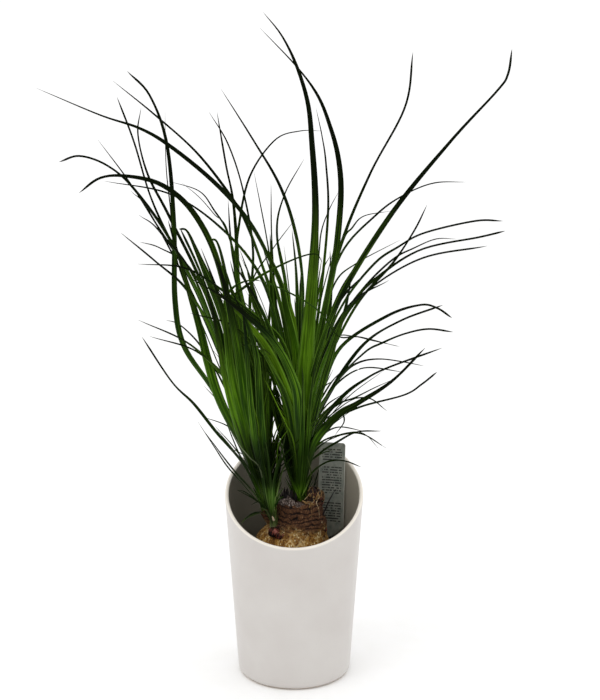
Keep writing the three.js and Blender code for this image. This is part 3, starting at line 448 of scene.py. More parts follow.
# The smooth line through the points at the shares t, with its ends carried on
def smoothLine(points, shares):
    padded = np.vstack([2 * points[0] - points[1], points, 2 * points[-1] - points[-2]])
    place = np.clip(shares, 0, 1) * (len(points) - 1)
    first = np.minimum(place.astype(int), len(points) - 2)
    w = (place - first)[:, None]
    p0, p1, p2, p3 = (padded[first + i] for i in range(4))
    out, back = 0.5 * (p2 - p0), 0.5 * (p3 - p1)
    return p1 + out * w + (3 * (p2 - p1) - 2 * out - back) * w ** 2 + (2 * (p1 - p2) + out + back) * w ** 3


def leafLine(head, points):
    away = points[0] - head["foot"]
    away[2] = 0
    root = head["foot"] + away / np.linalg.norm(away) * head["footRadius"] * leafRule["rootOut"]
    root[2] += head["height"] * leafRule["rootUp"]
    return np.vstack([root, points])


def listedLine(head, tipDepth, marks):
    places = np.array([[head["foot"][0], head["foot"][2]]] + [list(m) for m in marks], dtype=float)
    runs = np.cumsum(np.linalg.norm(np.diff(places, axis=0), axis=1))
    depths = head["foot"][1] + (tipDepth - head["foot"][1]) * (runs / runs[-1]) ** leafRule["depthLag"]
    return leafLine(head, np.array([seenPoint(*m, d) for m, d in zip(marks, depths)]))


def fillingLine(head, azimuth, reach, rise, droop):
    t = np.array([0.25, 0.5, 0.75, 1])
    out = reach * t ** leafRule["arch"]
    up = head["height"] + rise * (t - droop * t ** 3)
    return leafLine(head, head["foot"] + np.stack([out * math.cos(azimuth), out * math.sin(azimuth), up], 1))


def halfWidth(width, shares):
    root = leafRule["rootShare"]
    opening = root + (1 - root) * np.minimum(1, shares / leafRule["opening"])
    return 0.5 * width * opening * (1 - shares) ** leafRule["taper"]


# A leaf is narrow at its root and widest above it, and keeps a strand's width almost to its point. The
# widths in millimetres and the twists in radians were matched to the photo.
def grownHalfWidth(width, twist, shares):
    opening = 0.38 + 0.62 * smoothStep(shares, 0, 0.27)
    power = np.interp(width, [3, 6, 9], [0.5, 1.0, 0.8])
    power += np.interp(abs(twist), [0.6, 0.85, 1.14, 1.2], [0.0, 0.4, 0.4, 0.0])
    strand = np.interp(width, [2, 3, 5, 8, 12], [0.42, 0.52, 0.68, 0.98, 1.2])
    body = np.maximum(strand * (0.6 + 0.4 * opening), 0.5 * width * opening * (1 - shares) ** power)
    closing = np.interp(abs(twist), [0.4, 0.9], [0.14, 0.05])  # blunter where the leaf turns over
    return np.maximum(0.08, body * np.minimum(1, (1 - shares) / closing) ** 0.6)


# Places, width directions and face directions along a leaf
def leafFrames(leaf, shares):
    place = smoothLine(leaf["line"], shares)
    along = smoothLine(leaf["line"], shares + 0.005) - smoothLine(leaf["line"], shares - 0.005)
    along /= np.linalg.norm(along, axis=1, keepdims=True)
    side = leaf["side"] - along * (along @ leaf["side"])[:, None]
    side /= np.linalg.norm(side, axis=1, keepdims=True)
    face = np.cross(along, side)
    turn = (leaf["twist"] * shares)[:, None]
    width = side * np.cos(turn) + face * np.sin(turn)
    return place, width, np.cross(along, width)


def makeLeaf(head, line, width, twistDegrees):
    away = line[-1] - head["foot"]
    side = np.array([-away[1], away[0], 0]) / math.hypot(away[0], away[1])
    twist = math.radians(twistDegrees) * np.sign(away[0] * away[1])
    leaf = {"line": line, "width": width, "side": side, "twist": twist}
    shares = np.arange(leafRule["samples"] + 1) / leafRule["samples"]
    place, across, _ = leafFrames(leaf, shares)
    leaf["place"] = place
    leaf["reach"] = across * np.maximum(0.5, halfWidth(width, shares))[:, None]
    return leaf


def tooClose(leaf, places, reaches):
    nearby, own = leafRule["nearby"], leaf["place"]
    inBox = np.all((places >= own.min(axis=0) - nearby) & (places <= own.max(axis=0) + nearby), axis=1)
    places, reaches = places[inBox], reaches[inBox]
    between = places[None] - own[:, None]
    distance = np.linalg.norm(between, axis=2)
    near = distance <= nearby
    span = np.abs(np.einsum("ijk,ik->ij", between, leaf["reach"]))
    span += np.abs(np.einsum("ijk,jk->ij", between, reaches))
    return bool(np.any(near & (distance < span / np.maximum(distance, 1e-9) + leafRule["clearance"])))


# Stick label, in millimetres; heights are those that it has before it is turned and leant
label = {
    "width": 28.0, "thickness": 0.9, "top": 230.0, "faceBottom": 141.0, "footTop": 129.0, "point": 94.0,
    "footWidth": 9.0, "footShift": -6.0, "pointRise": 12.0, "corner": 3.0, "edgeRound": 0.25, "sides": 40,
    "bow": 1.2, "pointGap": 0.4, "footRows": (112, 118, 124), "wideningRows": (133, 137), "faceStart": 146,
    "middle": Vector((38.5, 33.0, 150.0)), "turn": -0.25, "lean": -0.1,
}
labelPlacing = (Matrix.Translation(label["middle"]) @ Matrix.Rotation(label["turn"], 4, "Z")
                @ Matrix.Rotation(label["lean"], 4, "X") @ Matrix.Translation((0, 0, -label["middle"].z)))


# What every leaf keeps clear of: the rim of the pot and the label
def obstaclePlaces():
    angles, step = ringAngles(leafRule["rimPoints"]), leafRule["boardStep"]
    rim = [rimPoint(angles, inwards, below)
           for inwards in (0, pot["wall"]) for below in leafRule["rimBelow"]]
    board = [labelPlacing @ Vector((across, 0, height))
             for height in np.arange(label["faceBottom"], label["top"] + 0.01, step)
             for across in np.arange(-label["width"] / 2, label["width"] / 2 + 0.01, step)]
    return np.vstack(rim + [np.array(board)])


# Tries a leaf in steps to one side and the other until it is clear of the rim, the label and the other
# heads. A strand with a tone of its own heeds only the rim and the label, so it may cross another head's
# leaves. A leaf that finds no free place is left out.
def placeLeaf(placed, obstacles, headName, lineAtStep, width, twist, tone=None):
    others = [leaf for name in placed if name != headName for leaf in placed[name] if tone is None]
    places = np.vstack([obstacles] + [leaf["place"] for leaf in others])
    reaches = np.vstack([np.zeros_like(obstacles)] + [leaf["reach"] for leaf in others])
    for attempt in range(leafRule["tries"]):
        step = (attempt + 1) // 2 * (1 if attempt % 2 else -1)
        leaf = makeLeaf(heads[headName], lineAtStep(step), width, twist)
        if not tooClose(leaf, places, reaches):
            placed[headName].append({**leaf, "tone": tone})
            return


# Lehmer's draws, which the solids' source makes too, so that the filling leaves stand where its own do
lehmer = {"factor": 16807, "modulus": 2147483647}


def lehmerDraws(seed):
    state = [seed]

    def draw(low=0.0, high=1.0):
        state[0] = state[0] * lehmer["factor"] % lehmer["modulus"]
        return low + (high - low) * state[0] / lehmer["modulus"]

    return draw


def placeLeaves():
    placed = {name: [] for name in heads}
    obstacles = obstaclePlaces()

    def placeTraced(name, width, twist, tipDepth, marks, tone=None):
        placeLeaf(placed, obstacles, name, lambda step: listedLine(
            heads[name], tipDepth + leafRule["depthStep"] * step, marks), width, twist, tone)

    def placeFilling(name, azimuth, reach, rise, droop, width, twist, tone=None):
        placeLeaf(placed, obstacles, name, lambda step: fillingLine(
            heads[name], azimuth + leafRule["turnStep"] * step, reach, rise, droop), width, twist, tone)

    for name, rows in leafMarks.items():
        for width, twist, tipDepth, *marks in rows:
            placeTraced(name, width, twist, tipDepth, marks)
    for name, fill in fills.items():
        draw = lehmerDraws(fill["seed"])
        for i in range(fill["count"]):
            azimuth = (0.5 if i % 2 else -0.5) * math.pi + leafRule["spread"] * (draw() - 0.5)
            reach = fill["reach"] * draw(*leafRule["reaches"])
            rise = fill["rise"] * draw(*leafRule["rises"])
            droop = draw(*leafRule["droops"])
            width = rise * draw(*leafRule["widths"])
            placeFilling(name, azimuth, reach, rise, droop, width, draw(*leafRule["twists"]))
    for name, rows in fineMarks.items():
        for width, twist, tipDepth, tone, *marks in rows:
            placeTraced(name, width, twist, tipDepth, marks, tone)
    draw = np.random.default_rng(fineRule["seed"])
    for name, count in fineFills.items():
        share = fills[name]["rise"] / fills["right"]["rise"]
        for i in range(count):
            if i % fineRule["frontEvery"]:
                azimuth = draw.uniform(*fineRule["back"])
            else:
                azimuth = draw.uniform(*fineRule["frontShares"]) * math.pi
            reach, rise, width = (draw.uniform(*fineRule[key]) for key in ("reach", "rise", "width"))
            droop = draw.uniform(*fineRule["droop"])
            placeFilling(name, azimuth, reach * share, rise * share, droop, width,
                         draw.uniform(*leafRule["twists"]))
    for name, count in threads["counts"].items():
        for i in range(count):
            azimuth = draw.uniform(-1, 0) * math.pi
            reach, rise, width = (draw.uniform(*threads[key]) for key in ("reach", "rise", "width"))
            placeFilling(name, azimuth, reach, rise, threads["droop"], width, threads["twist"],
                         draw.uniform(*threads["tone"]))
    return placed


leaves = placeLeaves()
print("leaves placed:", {name: len(group) for name, group in leaves.items()})


# Rings of points joined into one closed skin; the first and last poles are single points
def ringSkin(name, firstPole, rings, lastPole):
    sides, last = len(rings[0]), len(rings) - 1
    points = np.vstack([[firstPole, lastPole]] + list(rings)) * mm

    def corner(row, i):
        return 2 + row * sides + i % sides

    faces = [(0, corner(0, i + 1), corner(0, i)) for i in range(sides)]
    faces += [(1, corner(last, i), corner(last, i + 1)) for i in range(sides)]
    faces += [(corner(row, i), corner(row, i + 1), corner(row + 1, i + 1), corner(row + 1, i))
              for row in range(last) for i in range(sides)]
    mesh = newMesh(name, points, faces)
    mesh.shade_smooth()
    return mesh


def roundRing(angles, radius, height, centre=(0, 0)):
    around = [centre[0] + radius * np.cos(angles), centre[1] + radius * np.sin(angles), height + 0 * angles]
    return np.stack(around, axis=1)


# Rings that lie between two others, without the two
def ringsBetween(first, second, count):
    return [first + (second - first) * i / (count + 1) for i in range(1, count + 1)]


# Size of a pattern in millimetres turned to a texture scale on Object coordinates
def scaleFor(size):
    return 1 / (size * mm)


# Links a surface's colour and relief to its shader; the relief's depth is in millimetres
def coat(tree, shader, colour, relief, strength, depth):
    tree.links.new(colour, shader.inputs["Base Color"])
    bump = addNode(tree, "ShaderNodeBump", None, {
        "Strength": strength, "Distance": depth * mm, "Height": relief})
    tree.links.new(bump["Normal"], shader.inputs["Normal"])


# Slip-cast stoneware in a satin off-white glaze: soft broad highlights, a pale warm band painted along the
# top of the lip as its highlight, a taupe glaze inside that painted light makes paler towards the right-hand
# wall, and a bare matt foot
def stonewareGlaze():
    material, tree, shader = newMaterial("satin_glazed_stoneware")
    add = functools.partial(addNode, tree)
    place = add("ShaderNodeTexCoord")["Object"]
    inside = add("ShaderNodeAttribute", {"attribute_name": "inside"})["Fac"]
    belowRim = add("ShaderNodeAttribute", {"attribute_name": "belowRim"})["Fac"]
    height = add("ShaderNodeSeparateXYZ", None, {0: place})["Z"]
    cloud = add("ShaderNodeTexNoise", None, {"Vector": place, "Scale": scaleFor(45), "Detail": 3.0})
    peel = add("ShaderNodeTexNoise", None, {"Vector": place, "Scale": scaleFor(4), "Detail": 2.0})
    pits = add("ShaderNodeTexVoronoi", None, {"Vector": place, "Scale": scaleFor(5)})
    outer = add("ShaderNodeValToRGB", {"ramp": [(0.3, "#c3beba"), (0.7, "#c9c5c1")]}, {
        "Fac": cloud["Fac"]})
    # the inside glaze grows paler towards the right-hand wall: painted light
    across = add("ShaderNodeSeparateXYZ", None, {0: place})["X"]
    paintedLightRight = add("ShaderNodeMapRange", {"interpolation_type": "SMOOTHSTEP"}, {
        "Value": across, "From Min": -10 * mm, "From Max": 62 * mm, "To Min": 0.0, "To Max": 0.75})
    inner = add("ShaderNodeValToRGB", {"ramp": [
        (0.1, "#736f63"), (0.5, "#8b8577"), (1.0, "#b9b2a2")]}, {
        "Fac": add("ShaderNodeMath", {"operation": "MULTIPLY_ADD"}, {
            0: cloud["Fac"], 1: 0.3, 2: paintedLightRight["Result"]})[0]})
    side = add("ShaderNodeMix", {"data_type": "RGBA"}, {
        "Factor": inside, "A": outer["Color"], "B": inner["Color"]})
    # a pale band along the top of the lip: painted highlight
    lip = add("ShaderNodeMapRange", {"interpolation_type": "SMOOTHSTEP"}, {
        "Value": belowRim, "From Min": 0.4, "From Max": 2.2, "To Min": 0.85, "To Max": 0.0})
    lipHighlighted = add("ShaderNodeMix", {"data_type": "RGBA"}, {
        "Factor": lip["Result"], "A": side[2], "B": linearColour("#eee7db")})
    foot = add("ShaderNodeMapRange", {"interpolation_type": "SMOOTHSTEP"}, {
        "Value": height, "From Min": 1.0 * mm, "From Max": 2.2 * mm, "To Min": 1.0, "To Max": 0.0})
    footed = add("ShaderNodeMix", {"data_type": "RGBA"}, {
        "Factor": foot["Result"], "A": lipHighlighted[2], "B": linearColour("#b9a894")})
    pinhole = add("ShaderNodeMapRange", None, {
        "Value": pits["Distance"], "From Min": 0.03, "From Max": 0.09, "To Min": 0.0, "To Max": 1.0})
    speck = add("ShaderNodeMix", {"data_type": "RGBA", "blend_type": "MULTIPLY"}, {
        "Factor": 1.0, "A": footed[2], "B": add("ShaderNodeMapRange", None, {
            "Value": pinhole["Result"], "To Min": 0.86, "To Max": 1.0})["Result"]})
    rough = add("ShaderNodeMath", {"operation": "MAXIMUM"}, {
        0: add("ShaderNodeMapRange", None, {
            "Value": cloud["Fac"], "To Min": 0.26, "To Max": 0.4})["Result"],
        1: add("ShaderNodeMath", {"operation": "MULTIPLY"}, {0: foot["Result"], 1: 0.9})[0]})
    tree.links.new(rough[0], shader.inputs["Roughness"])
    relief = add("ShaderNodeMath", {"operation": "MULTIPLY_ADD"}, {
        0: peel["Fac"], 1: 0.35, 2: pinhole["Result"]})
    coat(tree, shader, speck[2], relief[0], 0.25, 0.15)
    shader.inputs["IOR"].default_value = 1.5
    shader.inputs["Specular IOR Level"].default_value = 0.35
    return material


def makePot():
    angles = ringAngles(pot["sides"])
    rings = []
    for turn in np.linspace(0, math.pi / 2, pot["footRows"]):
        height = pot["footRound"] * (1 - math.cos(turn))
        rings.append(roundRing(angles, potRadius(height) - pot["footRound"] * (1 - math.sin(turn)), height))
    lipRadius = pot["wall"] / 2
    lip = [rimPoint(angles, lipRadius * (1 - math.cos(turn)), lipRadius * (1 - math.sin(turn)))
           for turn in np.linspace(0, math.pi, pot["lipRows"])]
    corner = []
    for turn in np.linspace(0, math.pi / 2, pot["cornerRows"]):
        height = pot["floor"] + pot["insideRound"] * (1 - math.sin(turn))
        radius = potRadius(height) - pot["wall"] - pot["insideRound"] * (1 - math.cos(turn))
        corner.append(roundRing(angles, radius, height))
    rings += ringsBetween(rings[-1], lip[0], pot["outsideRows"])
    inside = [0.0] * (len(rings) + len(lip) - len(pot["lipGlaze"])) + list(pot["lipGlaze"])
    rings += lip + ringsBetween(lip[-1], corner[0], pot["insideRows"]) + corner
    inside += [1.0] * (len(rings) - len(inside))
    mesh = ringSkin("ceramic_pot_glaze", (0, 0, 0), rings, (0, 0, pot["floor"]))
    rimTop = rimPoint(angles, lipRadius, 0)[:, 2]
    below = [rimTop.max()] * 2 + [gap for ring in rings for gap in rimTop - ring[:, 2]]
    addAttribute(mesh, "inside", [0, 1] + list(np.repeat(inside, pot["sides"])))
    addAttribute(mesh, "belowRim", below)
    mesh.materials.append(stonewareGlaze())
    piece = newObject("ceramic_pot_glaze", mesh)
    settle(piece, "ceramic_pot")


makePot()
print("ceramic pot turned and glazed")

# Grower's pot, in millimetres
grower = {
    "foot": 7.3, "height": 120.0, "baseRadius": 43.0, "topRadius": 55.0, "wall": 1.4,
    "lipWidth": 3.0, "lipHeight": 9.0, "lipCurl": 1.2, "sides": 160, "ribs": 20, "ribDepth": 0.35,
}


def growerRadius(height):
    share = (height - grower["foot"]) / grower["height"]
    return grower["baseRadius"] + (grower["topRadius"] - grower["baseRadius"]) * share


# Thermoformed polypropylene: even matt black with fine draw lines and dull soil dust towards the lip
def blackPlastic():
    material, tree, shader = newMaterial("thermoformed_polypropylene")
    add = functools.partial(addNode, tree)
    place = add("ShaderNodeTexCoord")["Object"]
    drawnOut = add("ShaderNodeMapping", None, {"Vector": place, "Scale": (1, 1, 0.08)})
    lines = add("ShaderNodeTexNoise", None, {
        "Vector": drawnOut[0], "Scale": scaleFor(1.2), "Detail": 3.0})
    dust = add("ShaderNodeTexNoise", None, {"Vector": place, "Scale": scaleFor(9), "Detail": 6.0})
    height = add("ShaderNodeSeparateXYZ", None, {0: place})["Z"]
    upper = add("ShaderNodeMapRange", None, {
        "Value": height, "From Min": 90 * mm, "From Max": 128 * mm, "To Min": 0.15, "To Max": 0.8})
    cover = add("ShaderNodeMath", {"operation": "MULTIPLY"}, {0: dust["Fac"], 1: upper["Result"]})
    colour = add("ShaderNodeValToRGB", {
        "ramp": [(0.1, "#141414"), (0.4, "#231f1b"), (0.62, "#3c3127")]}, {"Fac": cover[0]})
    rough = add("ShaderNodeMapRange", None, {"Value": cover[0], "To Min": 0.42, "To Max": 0.85})
    tree.links.new(rough["Result"], shader.inputs["Roughness"])
    coat(tree, shader, colour["Color"], lines["Fac"], 0.3, 0.2)
    return material


def makeGrower():
    angles = ringAngles(grower["sides"])
    rim = grower["foot"] + grower["height"]
    lipFoot = rim - grower["lipHeight"]
    floorTop = grower["foot"] + grower["wall"]
    ribs = grower["ribDepth"] * (0.5 + 0.5 * np.cos(angles * grower["ribs"])) ** 3

    def wallRing(height, inwards=0.0, ribShare=1.0):
        return roundRing(angles, growerRadius(height) - inwards - ribs * ribShare, height)

    rings = [wallRing(grower["foot"], 2.0, 0), wallRing(grower["foot"] + 0.6, 0.6, 0)]
    rings += [wallRing(height) for height in np.linspace(grower["foot"] + 2, lipFoot - 1, 18)]
    curl = grower["lipCurl"]
    rings += [wallRing(lipFoot, -0.3, 0), wallRing(lipFoot, -grower["lipWidth"] + 0.4, 0)]
    rings += [wallRing(height, -grower["lipWidth"], 0)
              for height in np.linspace(lipFoot + 0.4, rim - curl, 5)]
    for turn in np.linspace(0.3, 1.2, 4):  # the lip rolls in over its top edge
        inwards = -grower["lipWidth"] + curl * (1 - math.cos(turn))
        rings.append(wallRing(rim - curl * (1 - math.sin(turn)), inwards, 0))
    rings += [wallRing(rim, grower["wall"] - 0.5, 0), wallRing(rim - 0.5, grower["wall"], 0)]
    rings += [wallRing(height, grower["wall"], 0) for height in np.linspace(rim - 4, floorTop + 1, 12)]
    rings.append(wallRing(floorTop, grower["wall"] + 1.0, 0))
    mesh = ringSkin("nursery_pot_shell", (0, 0, grower["foot"]), rings, (0, 0, floorTop))
    mesh.materials.append(blackPlastic())
    settle(newObject("nursery_pot_shell", mesh), "nursery_pot")


makeGrower()
print("grower's pot formed")

# Caudex, in millimetres: bulb, neck, the stub under the left head, and lumps of bark
caudex = {
    "bulbCentre": (-2.5, 0.0), "neckCentre": (6.0, 0.0), "shoulderStart": 140.0, "neckStart": 160.0,
    "neckTop": 179.0, "ringPitch": 4.6, "ringDepth": 1.3, "crackWidth": 10.0, "crackDepth": 0.8,
    "barkLow": 146.0, "barkHigh": 160.0,
    "lumpDepth": 2.2, "grainDepth": 1.0, "voxel": 0.62, "softenings": 4, "sides": 128, "seed": 5.0,
    "foot": 84, "footLevels": (84.3, 92, 8), "bodyStart": 93, "bodyRows": 70, "topDip": 0.6,
    "stubSides": 48, "stubRows": 12,
    "knobShare": 0.6, "knobSides": 24, "knobRows": 12,
    # height and radius
    "profile": [
        (84, 0), (86, 14), (92, 25), (100, 33), (110, 38), (122, 40), (132, 39.2), (140, 36.6), (147, 33),
        (153, 29), (160, 25), (166, 23), (172, 22.2), (177, 21.5), (179, 20),
    ],
    "stubFoot": (-12, 5, 150), "stubFootRadius": 12.5, "stubTop": (-27, 11, 168), "stubTopRadius": 9.5,
}
# Where each knob on the bark stands, its radius with its scales and how tall it is for its width
bracts = [(21, -4, 185, 8, 1.3), (25, 4, 181, 7, 1.2), (17, -11, 179, 6, 1), (13, 12, 180, 6, 1)]
buds = [(-20, -22, 152, 6, 0.9), (-14, -27, 150, 4.5, 0.9), (28, -5, 150, 5.5, 0.9)]


def caudexPoint(angle, height, grow):
    neckShare = smoothStep(height, caudex["shoulderStart"], caudex["neckStart"])
    levels, radii = zip(*caudex["profile"])
    centre = [a + (b - a) * neckShare for a, b in zip(caudex["bulbCentre"], caudex["neckCentre"])]
    lumps = 1 + 0.014 * np.sin(3 * angle + 1) + 0.01 * np.sin(7 * angle + height * 0.05)
    return roundRing(angle, np.interp(height, levels, radii) * lumps + grow, height, centre)


# Corky bark of a swollen stem: golden tan plates parted by pale upright cracks on the bulb, and dark
# red-brown leaf scars in rings round the neck with painted shade, near black, in the grooves between them,
# all dull
def corkyBark():
    material, tree, shader = newMaterial("corky_caudex_bark")
    add = functools.partial(addNode, tree)
    place = add("ShaderNodeTexCoord")["Object"]
    neck = add("ShaderNodeAttribute", {"attribute_name": "neckShare"})["Fac"]
    crack = add("ShaderNodeAttribute", {"attribute_name": "crack"})["Fac"]
    ring = add("ShaderNodeAttribute", {"attribute_name": "ring"})["Fac"]
    mottle = add("ShaderNodeTexNoise", None, {
        "Vector": place, "Scale": scaleFor(9), "Detail": 7.0, "Roughness": 0.65})
    grain = add("ShaderNodeTexNoise", None, {
        "Vector": place, "Scale": scaleFor(1.6), "Detail": 5.0, "Roughness": 0.7})
    drawn = add("ShaderNodeMapping", None, {
        "Vector": place, "Scale": (1, 1, 0.45), "Rotation": (0.3, 0.5, 0)})
    fibre = add("ShaderNodeTexNoise", None, {
        "Vector": drawn[0], "Scale": scaleFor(1.5), "Detail": 5.0, "Roughness": 0.75})
    flake = add("ShaderNodeTexVoronoi", {"feature": "F1"}, {
        "Vector": drawn[0], "Scale": scaleFor(2.6), "Randomness": 1.0})
    bulb = add("ShaderNodeValToRGB", {"ramp": [
        (0.38, "#241305"), (0.46, "#5f3c14"), (0.53, "#865c23"), (0.6, "#ae8743"), (0.67, "#e6d09a")]},
        {"Fac": add("ShaderNodeMath", {"operation": "MULTIPLY_ADD"}, {
            0: grain["Fac"], 1: 0.55, 2: add("ShaderNodeMath", {"operation": "MULTIPLY"}, {
                0: mottle["Fac"], 1: 0.5})[0]})[0]})
    cracked = add("ShaderNodeMix", {"data_type": "RGBA"}, {
        "Factor": add("ShaderNodeMath", {"operation": "MULTIPLY"}, {0: crack, 1: 0.75})[0],
        "A": add("ShaderNodeMix", {"data_type": "RGBA"}, {
            "Factor": add("ShaderNodeMath", {"operation": "MULTIPLY"}, {
                0: add("ShaderNodeMapRange", None, {
                    "Value": flake["Distance"], "From Min": 0.16, "From Max": 0.34, "To Min": 1.0,
                    "To Max": 0.0})["Result"],
                1: add("ShaderNodeMapRange", None, {
                    "Value": mottle["Fac"], "From Min": 0.46, "From Max": 0.56,
                    "To Max": 0.85})["Result"]})[0],
            "A": bulb["Color"], "B": linearColour("#f3e2b2")})[2],
        "B": linearColour("#dcc08a")})
    # the neck's red-brown goes near black in the grooves between the ledges: painted shade
    rings = add("ShaderNodeValToRGB", {"ramp": [
        (0.28, "#050201"), (0.47, "#1c0b04"), (0.58, "#321a0b"), (0.7, "#56381f"), (0.82, "#8c745c")]},
        {"Fac": add("ShaderNodeMath", {"operation": "MULTIPLY_ADD"}, {
            0: ring, 1: 0.28, 2: add("ShaderNodeMath", {"operation": "MULTIPLY"}, {
                0: fibre["Fac"], 1: 0.7})[0]})[0]})
    bark = add("ShaderNodeMix", {"data_type": "RGBA"}, {
        "Factor": neck, "A": cracked[2], "B": rings["Color"]})
    coat(tree, shader, bark[2], grain["Fac"], 0.7, 0.5)
    shader.inputs["Roughness"].default_value = 0.86
    shader.inputs["Specular IOR Level"].default_value = 0.25
    return material


# Pushes the smooth bark out and in: cracks on the bulb, rings on the neck, lumps and grain all over
def barkTree(material):
    tree, given = newShapeTree("bark_relief", {
        "Crack Width": "Float", "Crack Depth": "Float", "Ring Pitch": "Float", "Ring Depth": "Float",
        "Neck Top": "Float", "Shoulder": "Float", "Neck Start": "Float", "Lump Depth": "Float",
        "Grain Depth": "Float", "Seed": "Float"})
    add = functools.partial(addNode, tree)
    place = add("GeometryNodeInputPosition")[0]
    height = add("ShaderNodeSeparateXYZ", None, {0: place})["Z"]
    noises = {}
    for name, size, detail in (
            ("wander", 16, {"Detail": 2.0}), ("waver", 6, {"Detail": 3.0}),
            ("fine", 2.0, {"Detail": 3.0, "Roughness": 0.65}), ("fade", 4, {"Detail": 3.0})):
        noises[name] = add("ShaderNodeTexNoise", {"noise_dimensions": "4D"}, {
            "Vector": place, "W": given["Seed"], "Scale": scaleFor(size), **detail})
    wander, waver = noises["wander"], noises["waver"]["Fac"]
    lowered = add("ShaderNodeMath", {"operation": "SUBTRACT"}, {0: height, 1: 8 * mm})
    neckHeight = add("ShaderNodeMath", {"operation": "MULTIPLY_ADD"}, {
        0: wander["Fac"], 1: 16 * mm, 2: lowered[0]})
    neck = add("ShaderNodeMapRange", {"interpolation_type": "SMOOTHSTEP"}, {
        "Value": neckHeight[0], "From Min": given["Shoulder"], "From Max": given["Neck Start"]})["Result"]
    # cells drawn out upwards, bent by the broad noise so that no crack runs straight
    bent = add("ShaderNodeVectorMath", {"operation": "MULTIPLY_ADD"}, {
        0: wander["Color"], 1: (14 * mm, 14 * mm, 14 * mm), 2: place})
    drawn = add("ShaderNodeVectorMath", {"operation": "MULTIPLY"}, {0: bent[0], 1: (1, 1, 0.5)})
    edges = add("ShaderNodeTexVoronoi", {"feature": "DISTANCE_TO_EDGE"}, {
        "Vector": drawn[0],
        "Scale": add("ShaderNodeMath", {"operation": "DIVIDE"}, {0: 1.0, 1: given["Crack Width"]})[0]})
    split = add("ShaderNodeMapRange", {"interpolation_type": "SMOOTHSTEP"}, {
        "Value": edges["Distance"], "From Min": 0.015, "From Max": 0.1, "To Min": 1.0, "To Max": 0.0})
    parts = add("ShaderNodeMapRange", None, {"Value": waver, "From Min": 0.42, "From Max": 0.6})
    broken = add("ShaderNodeMath", {"operation": "MULTIPLY"}, {
        0: split["Result"], 1: parts["Result"]})
    crack = add("ShaderNodeMath", {"operation": "MULTIPLY"}, {
        0: broken[0], 1: add("ShaderNodeMath", {"operation": "SUBTRACT"}, {0: 1.0, 1: neck})[0]})[0]
    # ledges one pitch apart that waver and fade in and out, each ending in a sharp groove
    sway = add("ShaderNodeMath", {"operation": "MULTIPLY_ADD"}, {
        0: waver, 1: 9 * mm, 2: add("ShaderNodeMath", {"operation": "MULTIPLY"}, {
            0: wander["Fac"], 1: 14 * mm})[0]})
    fromTop = add("ShaderNodeMath", {"operation": "SUBTRACT"}, {0: given["Neck Top"], 1: height})
    swayed = add("ShaderNodeMath", {"operation": "ADD"}, {0: fromTop[0], 1: sway[0]})
    phase = add("ShaderNodeMath", {"operation": "DIVIDE"}, {0: swayed[0], 1: given["Ring Pitch"]})
    ledge = add("ShaderNodeMapRange", {"interpolation_type": "SMOOTHSTEP"}, {
        "Value": add("ShaderNodeMath", {"operation": "PINGPONG"}, {0: phase[0], 1: 0.5})[0],
        "From Min": 0.0, "From Max": 0.2})
    depth = add("ShaderNodeMapRange", None, {
        "Value": noises["fade"]["Fac"], "From Min": 0.36, "From Max": 0.6, "To Min": 0.1, "To Max": 1.3})
    groove = add("ShaderNodeMath", {"operation": "MULTIPLY"}, {
        0: add("ShaderNodeMath", {"operation": "SUBTRACT"}, {0: 1.0, 1: ledge["Result"]})[0],
        1: depth["Result"]})
    ring = add("ShaderNodeMath", {"operation": "SUBTRACT"}, {0: 1.0, 1: groove[0]})[0]
    slope = add("ShaderNodeMath", {"operation": "MULTIPLY"}, {
        0: add("ShaderNodeMath", {"operation": "FRACT"}, {0: phase[0]})[0], 1: 0.6})
    stepped = add("ShaderNodeMath", {"operation": "ADD"}, {
        0: add("ShaderNodeMath", {"operation": "SUBTRACT"}, {0: ring, 1: 0.9})[0], 1: slope[0]})
    ringed = add("ShaderNodeMath", {"operation": "MULTIPLY"}, {0: stepped[0], 1: neck})
    push = add("ShaderNodeMath", {"operation": "MULTIPLY"}, {0: ringed[0], 1: given["Ring Depth"]})
    push = add("ShaderNodeMath", {"operation": "MULTIPLY_ADD"}, {
        0: add("ShaderNodeMath", {"operation": "MULTIPLY"}, {0: crack, 1: -1.0})[0],
        1: given["Crack Depth"], 2: push[0]})
    for value, deep in ((wander["Fac"], "Lump Depth"), (waver, "Lump Depth"),
                        (noises["fine"]["Fac"], "Grain Depth")):
        centred = add("ShaderNodeMath", {"operation": "SUBTRACT"}, {0: value, 1: 0.5})
        push = add("ShaderNodeMath", {"operation": "MULTIPLY_ADD"}, {
            0: centred[0], 1: given[deep], 2: push[0]})
    normal = add("GeometryNodeInputNormal")[0]
    shift = add("ShaderNodeVectorMath", {"operation": "SCALE"}, {0: normal, "Scale": push[0]})
    kept = given["Geometry"]
    for name, value in (("neckShare", neck), ("crack", crack), ("ring", ring)):
        kept = add("GeometryNodeStoreNamedAttribute", {"data_type": "FLOAT", "domain": "POINT"}, {
            "Geometry": kept, "Name": name, "Value": value})[0]
    moved = add("GeometryNodeSetPosition", None, {"Geometry": kept, "Offset": shift[0]})
    endShapeTree(tree, moved[0], material)
    return tree


def eggRings(x, y, z, radius, squash, sides, rows):
    angles = ringAngles(sides)
    turns = np.linspace(0, math.pi, rows + 2)[1:-1]
    rings = [roundRing(angles, radius * math.sin(turn), z - radius * squash * math.cos(turn), (x, y))
             for turn in turns]
    return (x, y, z - radius * squash), rings, (x, y, z + radius * squash)


def stubRings(angles, foot, top, footRadius, topRadius, rows):
    foot, top = Vector(foot), Vector(top)
    turn = (top - foot).to_track_quat("Z", "Y")
    rings = []
    for share in np.linspace(0, 1, rows):
        radius = footRadius + (topRadius - footRadius) * share
        spokes = [Vector((radius * math.cos(angle), radius * math.sin(angle), 0)) for angle in angles]
        rings.append(np.array([foot.lerp(top, share) + turn @ spoke for spoke in spokes]))
    return tuple(foot), rings, tuple(top)


